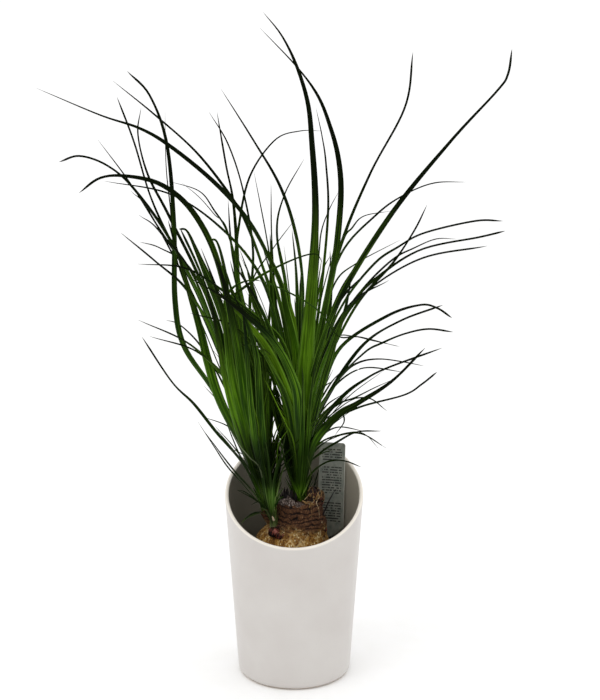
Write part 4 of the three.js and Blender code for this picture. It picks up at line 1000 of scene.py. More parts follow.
def joinMeshes(name, meshes):
    points, faces, start = [], [], 0
    for mesh in meshes:
        points += [v.co[:] for v in mesh.vertices]
        faces += [tuple(start + i for i in face.vertices) for face in mesh.polygons]
        start += len(mesh.vertices)
    return newMesh(name, points, faces)


def makeCaudex():
    angles = ringAngles(caudex["sides"])
    levels = np.concatenate([np.linspace(*caudex["footLevels"]),
                             np.linspace(caudex["bodyStart"], caudex["neckTop"], caudex["bodyRows"])])
    body = ringSkin("body", (*caudex["bulbCentre"], caudex["foot"]),
                    [caudexPoint(angles, height, 0) for height in levels],
                    (*caudex["neckCentre"], caudex["neckTop"] - caudex["topDip"]))
    stub = ringSkin("stub", *stubRings(
        ringAngles(caudex["stubSides"]), caudex["stubFoot"], caudex["stubTop"],
        caudex["stubFootRadius"], caudex["stubTopRadius"], caudex["stubRows"]))
    knobs = [ringSkin("knob", *eggRings(x, y, z, radius * caudex["knobShare"], squash, caudex["knobSides"],
                                        caudex["knobRows"])) for x, y, z, radius, squash in bracts + buds]
    rough = newObject("caudex_rough", joinMeshes("caudex_rough", [body, stub] + knobs))
    remesh = rough.modifiers.new("fuse", "REMESH")
    remesh.mode = "VOXEL"
    remesh.voxel_size = caudex["voxel"] * mm
    soften = rough.modifiers.new("soften", "SMOOTH")
    soften.iterations = caudex["softenings"]
    fused = finishedMesh(rough)
    bpy.data.objects.remove(rough)
    fused.shade_smooth()
    piece = shapeObject("caudex_bark", fused, barkTree(corkyBark()), {
        "Crack Width": caudex["crackWidth"] * mm, "Crack Depth": caudex["crackDepth"] * mm,
        "Ring Pitch": caudex["ringPitch"] * mm, "Ring Depth": caudex["ringDepth"] * mm,
        "Neck Top": caudex["neckTop"] * mm, "Shoulder": caudex["barkLow"] * mm,
        "Neck Start": caudex["barkHigh"] * mm, "Lump Depth": caudex["lumpDepth"] * mm,
        "Grain Depth": caudex["grainDepth"] * mm, "Seed": caudex["seed"]})
    print("caudex faces:", len(piece.data.polygons))
    settle(piece, "caudex")


makeCaudex()
print("caudex grown and barked")

# Blades of every kind, in millimetres: how finely each is drawn and how its section is shaped
blade = {
    "steps": 58, "sheathSteps": 12, "sectionPoints": 10, "thickness": 0.075, "channel": -0.26, "roll": 0.6,
    "rollSpan": (0.3, 0.75), "toneSeed": 11, "tones": (0, 0.75),
}
# How dark a leaf is drawn at a place, matched to the photo: painted shade on the outer arches by how low
# they lean and in the dense foot of a head, and darker high and far ends. Places in millimetres, the rest in
# shares.
shade = {
    "rightEdge": 6.0, "leftEdge": -27.0, "leftPull": 0.5, "depthPull": 0.3, "archFoot": 150.0,
    "archLeast": 20.0, "archLean": (0.12, 0.28), "archMost": 0.86, "footStart": (184, 204),
    "footEnd": (222, 295), "footMost": 0.84, "high": (345, 510), "middle": -15.0, "far": (60, 130),
}
# The turn from one leaf to the next in a spiral, in radians
goldenTurn = 2.39996
# Young sheaths round each growing core: how many, how high they rise and lean out, and how wide they are
sheaths = {
    "right": {"count": 30, "rise": 1.5, "lean": 1.5, "width": 0.36},
    "left": {"count": 30, "rise": 1.5, "lean": 1.6, "width": 0.36},
    "offset": {"count": 12, "rise": 1.7, "lean": 0.45, "width": 0.62},
}


# Living leaf of a ponytail palm: supple and faintly channelled, with fine lengthwise veins drawn as pale
# streaks that are partly their own colour and partly painted highlight, painted shade in the furrows between
# them and by place, a paler margin that is partly painted highlight, yellow-green where it leaves the head,
# dark green further out and dry brown at the very tip
def leafSkin(name, stops, dark, streakColour):
    material, tree, shader = newMaterial(name)
    add = functools.partial(addNode, tree)
    share = add("ShaderNodeAttribute", {"attribute_name": "share"})["Fac"]
    tone = add("ShaderNodeAttribute", {"attribute_name": "tone"})["Fac"]
    across = add("ShaderNodeAttribute", {"attribute_name": "acrossShare"})["Fac"]
    run = add("ShaderNodeAttribute", {"attribute_name": "run"})["Fac"]
    # streaks 60 mm long and half a millimetre wide, drawn a little coarser than real ones so they show
    streakPlace = add("ShaderNodeCombineXYZ", None, {
        "X": add("ShaderNodeMath", {"operation": "MULTIPLY"}, {0: across, 1: 5.0})[0],
        "Y": add("ShaderNodeMath", {"operation": "MULTIPLY"}, {0: run, 1: 1 / 60})[0],
        "Z": add("ShaderNodeMath", {"operation": "MULTIPLY"}, {0: tone, 1: 57.0})[0]})
    streak = add("ShaderNodeTexNoise", None, {
        "Vector": streakPlace[0], "Scale": 1.0, "Detail": 4.0})
    patch = add("ShaderNodeTexNoise", None, {
        "Vector": add("ShaderNodeCombineXYZ", None, {
            "X": add("ShaderNodeMath", {"operation": "MULTIPLY"}, {0: run, 1: 1 / 35})[0],
            "Y": add("ShaderNodeMath", {"operation": "MULTIPLY"}, {0: tone, 1: 91.0})[0]})[0],
        "Scale": 1.0, "Detail": 3.0})
    along = add("ShaderNodeValToRGB", {"ramp": stops}, {"Fac": share})
    # painted shade that each point of a leaf carries from its place
    paintedShade = add("ShaderNodeAttribute", {"attribute_name": "dark"})["Fac"]
    # a tone under 0 makes a leaf paler, up to near white that also serves as painted highlight on a few
    # strands; one over 0 makes it cooler and darker
    paleness = add("ShaderNodeMath", {"operation": "MULTIPLY"}, {0: tone, 1: -1.0})
    paleColour = add("ShaderNodeValToRGB", {"ramp": [
        (0.1, "#52801a"), (0.5, "#6b9416"), (0.75, "#a2ba70"), (1.0, "#cdd5b4")]}, {"Fac": paleness[0]})
    pale = add("ShaderNodeMix", {"data_type": "RGBA"}, {
        "Factor": add("ShaderNodeMapRange", None, {
            "Value": paleness[0], "From Max": 0.5, "To Max": 0.75})[0],
        "A": along["Color"], "B": paleColour["Color"]})
    cool = add("ShaderNodeMix", {"data_type": "RGBA"}, {
        "Factor": add("ShaderNodeMapRange", None, {
            "Value": tone, "From Min": 0.2, "From Max": 0.6, "To Max": 0.5})["Result"],
        "A": pale[2], "B": linearColour("#153d18")})
    # darker by the leaf's own tone and by the painted shade of its place
    shaded = add("ShaderNodeMix", {"data_type": "RGBA"}, {
        "Factor": add("ShaderNodeMath", {"operation": "MAXIMUM"}, {
            0: add("ShaderNodeMapRange", None, {
                "Value": tone, "From Min": 0.12, "From Max": 0.8, "To Min": 0.0, "To Max": 0.84})["Result"],
            1: add("ShaderNodeMath", {"operation": "MULTIPLY"}, {0: paintedShade, 1: 0.97})[0]})[0],
        "A": cool[2], "B": linearColour(dark)})
    # pale streaks along the veins, partly their own colour and partly painted highlight, left out under the
    # painted shade
    lit = add("ShaderNodeMix", {"data_type": "RGBA"}, {
        "Factor": add("ShaderNodeMath", {"operation": "MULTIPLY"}, {
            0: add("ShaderNodeMapRange", None, {
                "Value": streak["Fac"], "From Min": 0.5, "From Max": 0.7, "To Max": 0.6})["Result"],
            1: add("ShaderNodeMapRange", None, {
                "Value": paintedShade, "To Min": 1.0, "To Max": 0.0})["Result"]})[0],
        "A": shaded[2], "B": linearColour(streakColour)})
    # a paler margin, partly the blade's own edge colour and partly painted highlight, left out under the
    # painted shade
    margin = add("ShaderNodeMapRange", None, {
        "Value": add("ShaderNodeMath", {"operation": "ABSOLUTE"}, {0: across})[0],
        "From Min": 0.6, "From Max": 0.92, "To Max": 0.55})
    edged = add("ShaderNodeMix", {"data_type": "RGBA"}, {
        "Factor": add("ShaderNodeMath", {"operation": "MULTIPLY"}, {
            0: margin["Result"], 1: add("ShaderNodeMapRange", None, {
                "Value": paintedShade, "From Max": 0.7, "To Min": 1.0, "To Max": 0.0})["Result"]})[0],
        "A": lit[2], "B": linearColour("#6c9434")})
    patched = add("ShaderNodeMix", {"data_type": "RGBA", "blend_type": "MULTIPLY"}, {
        "Factor": 1.0, "A": edged[2], "B": add("ShaderNodeMapRange", None, {
            "Value": patch["Fac"], "From Min": 0.3, "From Max": 0.7, "To Min": 0.75,
            "To Max": 1.15})["Result"]})
    # darker along the low lines of the relief: painted shade in the furrows
    furrowed = add("ShaderNodeMix", {"data_type": "RGBA", "blend_type": "MULTIPLY"}, {
        "Factor": 1.0, "A": patched[2], "B": add("ShaderNodeMapRange", None, {
            "Value": streak["Fac"], "From Min": 0.34, "From Max": 0.5, "To Min": 0.5,
            "To Max": 1.0})["Result"]})
    veins = add("ShaderNodeMath", {"operation": "SINE"}, {
        0: add("ShaderNodeMath", {"operation": "MULTIPLY"}, {0: across, 1: 7 * math.pi})[0]})
    relief = add("ShaderNodeMath", {"operation": "MULTIPLY_ADD"}, {
        0: veins[0], 1: 0.5, 2: streak["Fac"]})
    coat(tree, shader, furrowed[2], relief[0], 0.5, 0.12)
    rough = add("ShaderNodeMapRange", None, {
        "Value": streak["Fac"], "To Min": 0.36, "To Max": 0.62})
    tree.links.new(rough["Result"], shader.inputs["Roughness"])
    sheen = add("ShaderNodeMapRange", None, {
        "Value": share, "From Max": 0.4, "To Min": 0.1, "To Max": 0.02})
    tree.links.new(sheen["Result"], shader.inputs["Specular IOR Level"])
    shader.inputs["IOR"].default_value = 1.42
    return material


# Draws a channelled, pointed section along every chain of edges, turned by what the chain carries
def bladeTree(name, material):
    tree, given = newShapeTree(name, {"Section Points": "Int", "Thickness": "Float", "Channel": "Float"})
    add = functools.partial(addNode, tree)
    lines = add("GeometryNodeMeshToCurve", None, {0: given["Geometry"]})
    acrossDirection = add("GeometryNodeInputNamedAttribute", {"data_type": "FLOAT_VECTOR"}, {
        "Name": "across"})
    half = add("GeometryNodeInputNamedAttribute", {"data_type": "FLOAT"}, {"Name": "halfWidth"})
    turned = add("GeometryNodeSetCurveNormal", {"mode": "FREE"}, {
        "Curve": lines[0], "Normal": acrossDirection[0]})
    circle = add("GeometryNodeCurvePrimitiveCircle", None, {
        "Resolution": given["Section Points"], "Radius": 1.0})
    corner = add("ShaderNodeSeparateXYZ", None, {0: add("GeometryNodeInputPosition")[0]})
    # deepest in the middle and nothing at the margins, where the blade is also thinnest
    inner = add("ShaderNodeMath", {"operation": "MULTIPLY_ADD"}, {
        0: add("ShaderNodeMath", {"operation": "MULTIPLY"}, {0: corner["X"], 1: corner["X"]})[0],
        1: -1.0, 2: 1.0})
    sink = add("ShaderNodeMath", {"operation": "MULTIPLY"}, {0: inner[0], 1: given["Channel"]})
    body = add("ShaderNodeMath", {"operation": "MULTIPLY_ADD"}, {
        0: add("ShaderNodeMath", {"operation": "MULTIPLY"}, {
            0: corner["Y"], 1: given["Thickness"]})[0],
        1: add("ShaderNodeMath", {"operation": "MULTIPLY_ADD"}, {0: inner[0], 1: 0.7, 2: 0.5})[0],
        2: sink[0]})
    named = add("GeometryNodeStoreNamedAttribute", {"data_type": "FLOAT", "domain": "POINT"}, {
        "Geometry": circle[0], "Name": "acrossShare", "Value": corner["X"]})
    section = add("GeometryNodeSetPosition", None, {
        "Geometry": named[0],
        "Position": add("ShaderNodeCombineXYZ", None, {"X": corner["X"], "Y": body[0]})[0]})
    swept = add("GeometryNodeCurveToMesh", None, {
        "Curve": turned[0], "Profile Curve": section[0], "Scale": half[0], "Fill Caps": True})
    smooth = add("GeometryNodeSetShadeSmooth", None, {"Geometry": swept[0]})
    endShapeTree(tree, smooth[0], material)
    return tree


# Turns the outer part of a blade by a share towards the photo's viewpoint, which shows it at its broadest
def rolledOver(place, width, face, share):
    facing = np.cross(np.cross(width, face), view["eye"] - place)
    facing /= np.linalg.norm(facing, axis=1, keepdims=True)
    facing *= np.where(np.sum(facing * width, axis=1) < 0, -1, 1)[:, None]
    turned = width * (1 - share)[:, None] + facing * share[:, None]
    return turned / np.linalg.norm(turned, axis=1, keepdims=True)


# One chain of edges for each blade, with what its section and its material need
def bladeLines(name, blades):
    points, edges, across, half, share, tone, run, dark = [], [], [], [], [], [], [], []
    for item in blades:
        shares = np.linspace(0, 1, item["steps"] + 1)
        place, width, face = leafFrames(item, shares)
        if "roll" in item:
            width = rolledOver(place, width, face, item["roll"] * smoothStep(shares, *blade["rollSpan"]))
        start = len(points)
        points += list(place * mm)
        edges += [(start + i, start + i + 1) for i in range(item["steps"])]
        across += list(width)
        half += list(np.interp(shares, np.linspace(0, 1, len(item["half"])), item["half"]) * mm)
        share += list(item["shareStart"] + (item["shareEnd"] - item["shareStart"]) * shares)
        tone += [item["tone"]] * len(shares)
        run += list(np.concatenate([[0], np.cumsum(np.linalg.norm(np.diff(place, axis=0), axis=1))]))
        # painted shade for each point, by its place
        dark += list(darkness(place))
    mesh = newMesh(name, points, edges=edges)
    addAttribute(mesh, "across", across, "FLOAT_VECTOR")
    for key, values in (("halfWidth", half), ("share", share), ("tone", tone), ("run", run), ("dark", dark)):
        addAttribute(mesh, key, values)
    return mesh


def dressLeaf(leaf, tone):
    shares = np.linspace(0, 1, 121)
    return {**leaf, "half": grownHalfWidth(leaf["width"], leaf["twist"], shares), "steps": blade["steps"],
            "tone": leaf["tone"] if leaf["tone"] is not None else tone, "shareStart": 0.0, "shareEnd": 1.0,
            "roll": blade["roll"]}


# Painted shade for points of a leaf by place: low outer arches and the dense foot of a head, and darker high
# and far ends
def darkness(places):
    x, y, height = places.T
    outside = np.maximum(0, np.maximum(x - shade["rightEdge"], -shade["leftPull"] * (x - shade["leftEdge"])))
    above = np.maximum(shade["archLeast"], height - shade["archFoot"])
    arch = shade["archMost"] * smoothStep(
        np.hypot(outside, shade["depthPull"] * y) / above, *shade["archLean"])
    foot = shade["footMost"] * smoothStep(height, *shade["footStart"]) * (
        1 - smoothStep(height, *shade["footEnd"]))
    away = np.hypot(x - shade["middle"], y)
    high, far = smoothStep(height, *shade["high"]), smoothStep(away, *shade["far"])
    return np.maximum.reduce([arch, foot, high, far])


# Short young sheaths wrapped round the growing core, one over the other in a spiral
def headSheaths(headName, draw):
    head, rule, grown = heads[headName], sheaths[headName], []
    for i in range(rule["count"]):
        azimuth = i * goldenTurn + draw.uniform(-0.2, 0.2)
        out = np.array([math.cos(azimuth), math.sin(azimuth), 0])
        level = i / rule["count"]
        rise = head["height"] * (0.75 + 0.9 * level) * rule["rise"]
        lean = head["topRadius"] * rule["lean"] * (1 - 0.55 * level)
        foot = head["foot"] + out * head["footRadius"] * (0.9 - 0.5 * level)
        waist = foot + out * lean * 0.35 + np.array([0, 0, rise * 0.5])
        tip = foot + out * lean + np.array([0, 0, rise])
        shares = np.linspace(0, 1, 31)
        width = head["footRadius"] * rule["width"] * (1 - 0.3 * level)
        grown.append({
            "line": np.array([foot, waist, tip]), "side": np.array([-out[1], out[0], 0]), "twist": 0.0,
            "half": np.maximum(0.2, width * (1 - shares) ** 0.55), "steps": blade["sheathSteps"],
            "tone": draw.uniform(0, 0.6), "shareStart": 0.0, "shareEnd": 0.22})
    return grown


def makeCrown(headName, pieceName, node, material):
    draw = np.random.default_rng(blade["toneSeed"] + len(headName))
    items = [dressLeaf(leaf, draw.uniform(*blade["tones"])) for leaf in leaves[headName]]
    items += headSheaths(headName, draw)
    piece = shapeObject(pieceName, bladeLines(pieceName, items), bladeTree(pieceName + "_shape", material), {
        "Section Points": blade["sectionPoints"], "Thickness": blade["thickness"],
        "Channel": blade["channel"]})
    settle(piece, node)
    print(pieceName, "faces:", len(piece.data.polygons))


leafGreen = leafSkin("living_leaf_skin", [
    (0.0, "#8f9440"), (0.03, "#4c681a"), (0.08, "#264108"), (0.2, "#345a04"), (0.4, "#2d5004"),
    (0.55, "#1f3804"), (0.75, "#152307"), (0.97, "#0e1405"), (1.0, "#4a3a22")], "#0a1004", "#6f9a22")
shootGreen = leafSkin("young_leaf_skin", [
    (0.0, "#d8d4aa"), (0.05, "#98a962"), (0.14, "#557a2c"), (0.3, "#325812"), (0.6, "#1c3809"),
    (0.95, "#0e1b05"), (1.0, "#43361f")], "#081003", "#9cb86a")
makeCrown("right", "crown_right_leaves", "crown_right", leafGreen)
makeCrown("left", "crown_left_leaves", "crown_left", leafGreen)
makeCrown("offset", "offset_shoot_leaves", "offset_shoot", shootGreen)
print("leaves grown")

# Dry scales round the bracts and the dormant buds, papery curls and fibres, in millimetres
scales = {
    "bract": {"count": 48, "size": 0.84, "width": 0.3, "lift": 1.9, "drift": 1.1, "tones": (-0.05, 0.78)},
    "bud": {"count": 30, "size": 0.9, "width": 0.4, "lift": 1.5, "drift": 0.5, "tones": (-0.1, 0.85)},
    "steps": 10, "sectionPoints": 10, "thickness": 0.1, "channel": -0.3, "seed": 31,
    # stubs of dead leaves, dark partly with painted shade: how many, the box their feet stand in, how they
    # lean, half width and tone
    "stubs": {"count": 22, "foot": ((-12, 2), (-9, 2), (176, 180)), "lean": ((-3, 3), (-3, 1), (9, 16)),
              "half": (0.8, 1.8), "tones": (-0.1, 0.08)},
    # papery curls: across, up and depth of the foot and of the tip, half width and tone
    "curls": [
        ((20, 179, -17), (12, 182, -19), 1.0, 0.55), ((15, 176, -20), (19, 182, -20), 0.9, 0.6),
        ((25, 183, -12), (29, 187, -13), 1.5, 0.25), ((27, 178, -10), (30, 182, -11), 1.1, 0.3),
        ((22, 190, -9), (19, 197, -10), 1.8, 0.12), ((18, 189, -9), (16, 195, -9), 1.5, 0.08),
        ((13, 180, -19), (8, 183, -20), 1.0, 0.62), ((-20, 163, -24), (-22, 168, -25), 1.1, 0.9),
        ((-17, 155, -31), (-13, 159, -33), 1.2, 0.2), ((27, 159, -11), (28, 163, -12), 1.2, 0.75),
    ],
    # fibres and a thin root: half width, tone, then marks across, up and in depth
    "fibres": [
        (0.3, 0.78, (25, 187, -12), (22.5, 181, -17), (24.5, 176, -18), (25.5, 166, -20)),
        (0.34, 0.74, (10, 184, -15), (13, 187, -13), (16, 191, -10), (18, 193, -8)),
        (0.3, 0.68, (18, 193, -8), (22, 191, -9), (26, 188, -9), (27, 186, -9)),
        (0.26, 0.72, (8, 184, -18), (12, 182, -19), (15, 183, -19), (19, 181, -19)),
        (0.18, 0.6, (19, 181, -19), (17, 175, -22), (18, 170, -24), (17, 166, -26)),
        (0.2, 0.3, (-14, 181, -17), (-18, 176, -19), (-19, 170, -20), (-17, 166, -23)),
        (0.9, 0.0, (27, 164, -8), (31, 174, -4), (36, 185, 2), (43, 197, 6)),
    ],
}


# Dead scales of bracts and buds: thin and papery, golden brown to dark red with pale dry edges
def dryScale(name, stops, edge):
    material, tree, shader = newMaterial(name)
    add = functools.partial(addNode, tree)
    share = add("ShaderNodeAttribute", {"attribute_name": "share"})["Fac"]
    tone = add("ShaderNodeAttribute", {"attribute_name": "tone"})["Fac"]
    across = add("ShaderNodeAttribute", {"attribute_name": "acrossShare"})["Fac"]
    place = add("ShaderNodeTexCoord")["Object"]
    blotch = add("ShaderNodeTexNoise", None, {
        "Vector": place, "Scale": scaleFor(2.5), "Detail": 5.0, "Roughness": 0.7})
    veins = add("ShaderNodeMath", {"operation": "SINE"}, {
        0: add("ShaderNodeMath", {"operation": "MULTIPLY"}, {0: across, 1: 9 * math.pi})[0]})
    mixed = add("ShaderNodeMath", {"operation": "MULTIPLY_ADD"}, {
        0: add("ShaderNodeMath", {"operation": "SUBTRACT"}, {0: blotch["Fac"], 1: 0.5})[0],
        1: 0.9, 2: tone})
    colour = add("ShaderNodeValToRGB", {"ramp": stops}, {"Fac": mixed[0]})
    tip = add("ShaderNodeMapRange", {"interpolation_type": "SMOOTHSTEP"}, {
        "Value": share, "From Min": 0.76, "From Max": 1.0, "To Max": 0.7})
    dry = add("ShaderNodeMapRange", None, {"Value": tone, "From Min": 0.05, "From Max": 0.3})
    tipped = add("ShaderNodeMix", {"data_type": "RGBA"}, {
        "Factor": add("ShaderNodeMath", {"operation": "MULTIPLY"}, {
            0: tip["Result"], 1: dry["Result"]})[0],
        "A": colour["Color"], "B": linearColour(edge)})
    coat(tree, shader, tipped[2], veins[0], 0.5, 0.15)
    shader.inputs["Roughness"].default_value = 0.7
    shader.inputs["Specular IOR Level"].default_value = 0.25
    return material


def scaleBlade(line, side, half, tone):
    shares = np.linspace(0, 1, 21)
    outline = half * np.minimum(1, 0.55 + 2.5 * shares) * (1 - shares ** 2.2) ** 0.75
    return {"line": np.array(line), "side": np.array(side), "twist": 0.0, "steps": scales["steps"],
            "half": np.maximum(0.12, outline), "tone": tone, "shareStart": 0.0, "shareEnd": 1.0}


# Scales wrapped over an egg from its foot to its top, in a spiral
def eggScales(knob, rule, draw):
    x, y, z, radius, squash = knob
    radius, wrapped = radius * rule["size"], []
    for i in range(rule["count"]):
        start = 0.5 + 1.6 * i / rule["count"]
        turns = np.linspace(start, start + draw.uniform(0.6, 1.2), 5)
        azimuth = i * goldenTurn + draw.uniform(-0.3, 0.3)
        azimuths = azimuth + draw.uniform(-1, 1) * rule["drift"] * np.linspace(0, 1, 5) ** 1.5
        curl = rule["lift"] * np.linspace(0, 1, 5) ** 2 * draw.uniform(0.0, 1.0)
        out = radius * draw.uniform(0.8, 1.05) * np.sin(np.minimum(turns, 3.0)) + 0.25 + curl
        line = np.stack([x + out * np.cos(azimuths), y + out * np.sin(azimuths),
                         z - radius * squash * np.cos(turns) + 0.5 * curl], axis=1)
        side = (-math.sin(azimuth), math.cos(azimuth), 0.0)
        half = radius * rule["width"] * draw.uniform(0.6, 1.15)
        wrapped.append(scaleBlade(line, side, half, draw.uniform(*rule["tones"])))
    return wrapped


# Stubs of dead leaves in the hollow between the two heads, drawn near-black: partly their own colour and
# partly painted shade in the hollow
def deadBases(draw):
    rule, stubs = scales["stubs"], []
    for _ in range(rule["count"]):
        foot, lean = (np.array([draw.uniform(*span) for span in rule[key]]) for key in ("foot", "lean"))
        stubs.append(scaleBlade([foot, foot + lean * 0.5 + (0, -0.6, 0), foot + lean], (1.0, 0.0, 0.0),
                                draw.uniform(*rule["half"]), draw.uniform(*rule["tones"])))
    return stubs


def makeScales(name, items, material):
    piece = shapeObject(name, bladeLines(name, items), bladeTree(name + "_shape", material), {
        "Section Points": scales["sectionPoints"], "Thickness": scales["thickness"],
        "Channel": scales["channel"]})
    settle(piece, "caudex")


def makeBracts():
    draw = np.random.default_rng(scales["seed"])
    items = [item for knob in bracts for item in eggScales(knob, scales["bract"], draw)]
    for foot, tip, half, tone in scales["curls"]:
        ends = [seenPoint(*foot), seenPoint(*tip)]
        middle = (ends[0] + ends[1]) / 2 + np.array([0.0, -1.5, 1.0])
        side = np.cross(ends[1] - ends[0], [0.0, -1.0, 0.2])
        items.append(scaleBlade([ends[0], middle, ends[1]], side / np.linalg.norm(side), half, tone))
    for half, tone, *marks in scales["fibres"]:
        items.append(scaleBlade([seenPoint(*mark) for mark in marks], (1.0, 0.0, 0.0), half, tone))
    items += deadBases(draw)
    makeScales("dry_bracts", items, dryScale("papery_dry_bract", [
        (0.0, "#0b0403"), (0.16, "#220b05"), (0.36, "#482010"), (0.54, "#654522"), (0.72, "#8a7045"),
        (0.92, "#cbb9a0")], "#87704e"))
    items = [item for knob in buds for item in eggScales(knob, scales["bud"], draw)]
    makeScales("dormant_buds", items, dryScale("dormant_bud_scale", [
        (0.1, "#1c0603"), (0.4, "#3f120b"), (0.65, "#662a1c"), (0.9, "#9a6054")], "#7d4f36"))


makeBracts()
print("bracts and buds wrapped")

# Cork lumps where old leaves broke off at the front edge of the neck, in millimetres: how they are drawn,
# and the place, radius and height for width of each
cork = {"sides": 40, "rows": 24, "lumpSize": 4.5, "lumpDepth": 3.6}
scars = [(-9, -12, 180.5, 4.6, 0.9), (-3, -16.5, 180.5, 4.2, 1.0), (4, -18, 179, 3.6, 0.8),
         (-13, -6, 179, 4.0, 0.8), (9, -17, 178, 3.2, 0.7), (-6, -8, 182, 3.6, 1.1)]


# Weathered cork: pale grey outside, brown in its cracks, dull and crumbly
def greyCork():
    material, tree, shader = newMaterial("weathered_cork")
    add = functools.partial(addNode, tree)
    place = add("ShaderNodeTexCoord")["Object"]
    crumb = add("ShaderNodeTexNoise", None, {
        "Vector": place, "Scale": scaleFor(1.8), "Detail": 6.0, "Roughness": 0.7})
    colour = add("ShaderNodeValToRGB", {"ramp": [
        (0.38, "#150c07"), (0.48, "#3a2a21"), (0.57, "#6f625b"), (0.68, "#b9aea8")]}, {"Fac": crumb["Fac"]})
    coat(tree, shader, colour["Color"], crumb["Fac"], 0.8, 0.5)
    shader.inputs["Roughness"].default_value = 0.92
    return material


def corkTree(material):
    tree, given = newShapeTree("cork_relief", {"Lump Size": "Float", "Lump Depth": "Float"})
    add = functools.partial(addNode, tree)
    place = add("GeometryNodeInputPosition")[0]
    lump = add("ShaderNodeTexNoise", None, {
        "Vector": place, "Scale": add("ShaderNodeMath", {"operation": "DIVIDE"}, {
            0: 1.0, 1: given["Lump Size"]})[0], "Detail": 3.0})
    spread = add("ShaderNodeVectorMath", {"operation": "SUBTRACT"}, {
        0: lump["Color"], 1: (0.5, 0.5, 0.5)})
    shift = add("ShaderNodeVectorMath", {"operation": "SCALE"}, {
        0: spread[0], "Scale": given["Lump Depth"]})
    moved = add("GeometryNodeSetPosition", None, {
        "Geometry": given["Geometry"], "Offset": shift[0]})
    endShapeTree(tree, moved[0], material)
    return tree


def makeScars():
    lumps = [ringSkin("lump", *eggRings(*scar, cork["sides"], cork["rows"])) for scar in scars]
    mesh = joinMeshes("cork_scars", lumps)
    mesh.shade_smooth()
    piece = shapeObject("cork_scars", mesh, corkTree(greyCork()), {
        "Lump Size": cork["lumpSize"] * mm, "Lump Depth": cork["lumpDepth"] * mm})
    settle(piece, "caudex")


makeScars()
print("cork scars set")

# Soil in the grower's pot, in millimetres
soil = {
    "edgeHeight": 115.0, "middleHeight": 119.0, "foot": 9.0, "gap": 0.3, "sides": 128, "rows": 26,
    "lumpDepth": 1.6, "crumbSpacing": 1.5, "crumbSmallest": 0.45, "crumbLargest": 1.7, "seed": 3,
}


# Peat and composted bark: nearly black when moist, with dry brown fibres and a few pale grains of perlite
def pottingSoil():
    material, tree, shader = newMaterial("moist_peat_and_bark")
    add = functools.partial(addNode, tree)
    place = add("ShaderNodeTexCoord")["Object"]
    tone = add("ShaderNodeAttribute", {"attribute_name": "crumbTone"})["Fac"]
    clods = add("ShaderNodeTexNoise", None, {
        "Vector": place, "Scale": scaleFor(3), "Detail": 8.0, "Roughness": 0.75})
    dryness = add("ShaderNodeMath", {"operation": "MULTIPLY_ADD"}, {
        0: tone, 1: 0.55, 2: add("ShaderNodeMath", {"operation": "MULTIPLY"}, {
            0: clods["Fac"], 1: 0.6})[0]})
    colour = add("ShaderNodeValToRGB", {"ramp": [
        (0.25, "#120c08"), (0.45, "#2a1c12"), (0.65, "#4a3423"), (0.8, "#6e5138"), (0.86, "#c9c3b8")]},
        {"Fac": dryness[0]})
    coat(tree, shader, colour["Color"], clods["Fac"], 0.9, 0.8)
    shader.inputs["Roughness"].default_value = 0.95
    return material


# Scatters small rough crumbs, each turned and sized at random, where the smoothed surface looks up. That
# takes in the topmost band of the soil's side, whose crumbs sink into the grower's pot.
def crumbTree(material):
    tree, given = newShapeTree("soil_crumbs", {
        "Spacing": "Float", "Smallest": "Float", "Largest": "Float", "Seed": "Int"})
    add = functools.partial(addNode, tree)
    facing = add("ShaderNodeSeparateXYZ", None, {0: add("GeometryNodeInputNormal")[0]})
    upwards = add("FunctionNodeCompare", {"data_type": "FLOAT", "operation": "GREATER_THAN"}, {
        0: facing["Z"], 1: 0.5})
    spots = add("GeometryNodeDistributePointsOnFaces", {"distribute_method": "POISSON"}, {
        "Mesh": given["Geometry"], "Selection": upwards[0], "Distance Min": given["Spacing"],
        "Density Max": 450000.0, "Seed": given["Seed"]})
    ball = add("GeometryNodeMeshIcoSphere", None, {"Radius": 1.0, "Subdivisions": 1})
    dent = add("ShaderNodeTexNoise", None, {"Scale": 1.3, "Detail": 1.0})
    dented = add("GeometryNodeSetPosition", None, {
        "Geometry": ball[0], "Offset": add("ShaderNodeVectorMath", {"operation": "SUBTRACT"}, {
            0: dent["Color"], 1: (0.5, 0.5, 0.5)})[0]})
    size = add("FunctionNodeRandomValue", {"data_type": "FLOAT"}, {
        2: given["Smallest"], 3: given["Largest"], "Seed": given["Seed"]})
    flat = add("FunctionNodeRandomValue", {"data_type": "FLOAT_VECTOR"}, {
        0: (0.7, 0.6, 0.4), 1: (1.6, 1.0, 0.8), "Seed": 21})
    turn = add("FunctionNodeRandomValue", {"data_type": "FLOAT_VECTOR"}, {
        0: (-0.5, -0.5, 0.0), 1: (0.5, 0.5, 6.283), "Seed": 22})
    tone = add("FunctionNodeRandomValue", {"data_type": "FLOAT"}, {"Seed": 23})
    toned = add("GeometryNodeStoreNamedAttribute", {"data_type": "FLOAT", "domain": "POINT"}, {
        "Geometry": spots[0], "Name": "crumbTone", "Value": tone[1]})
    crumbs = add("GeometryNodeInstanceOnPoints", None, {
        "Points": toned[0], "Instance": dented[0], "Rotation": turn[0],
        "Scale": add("ShaderNodeVectorMath", {"operation": "SCALE"}, {
            0: flat[0], "Scale": size[1]})[0]})
    endShapeTree(tree, crumbs[0], material)
    return tree


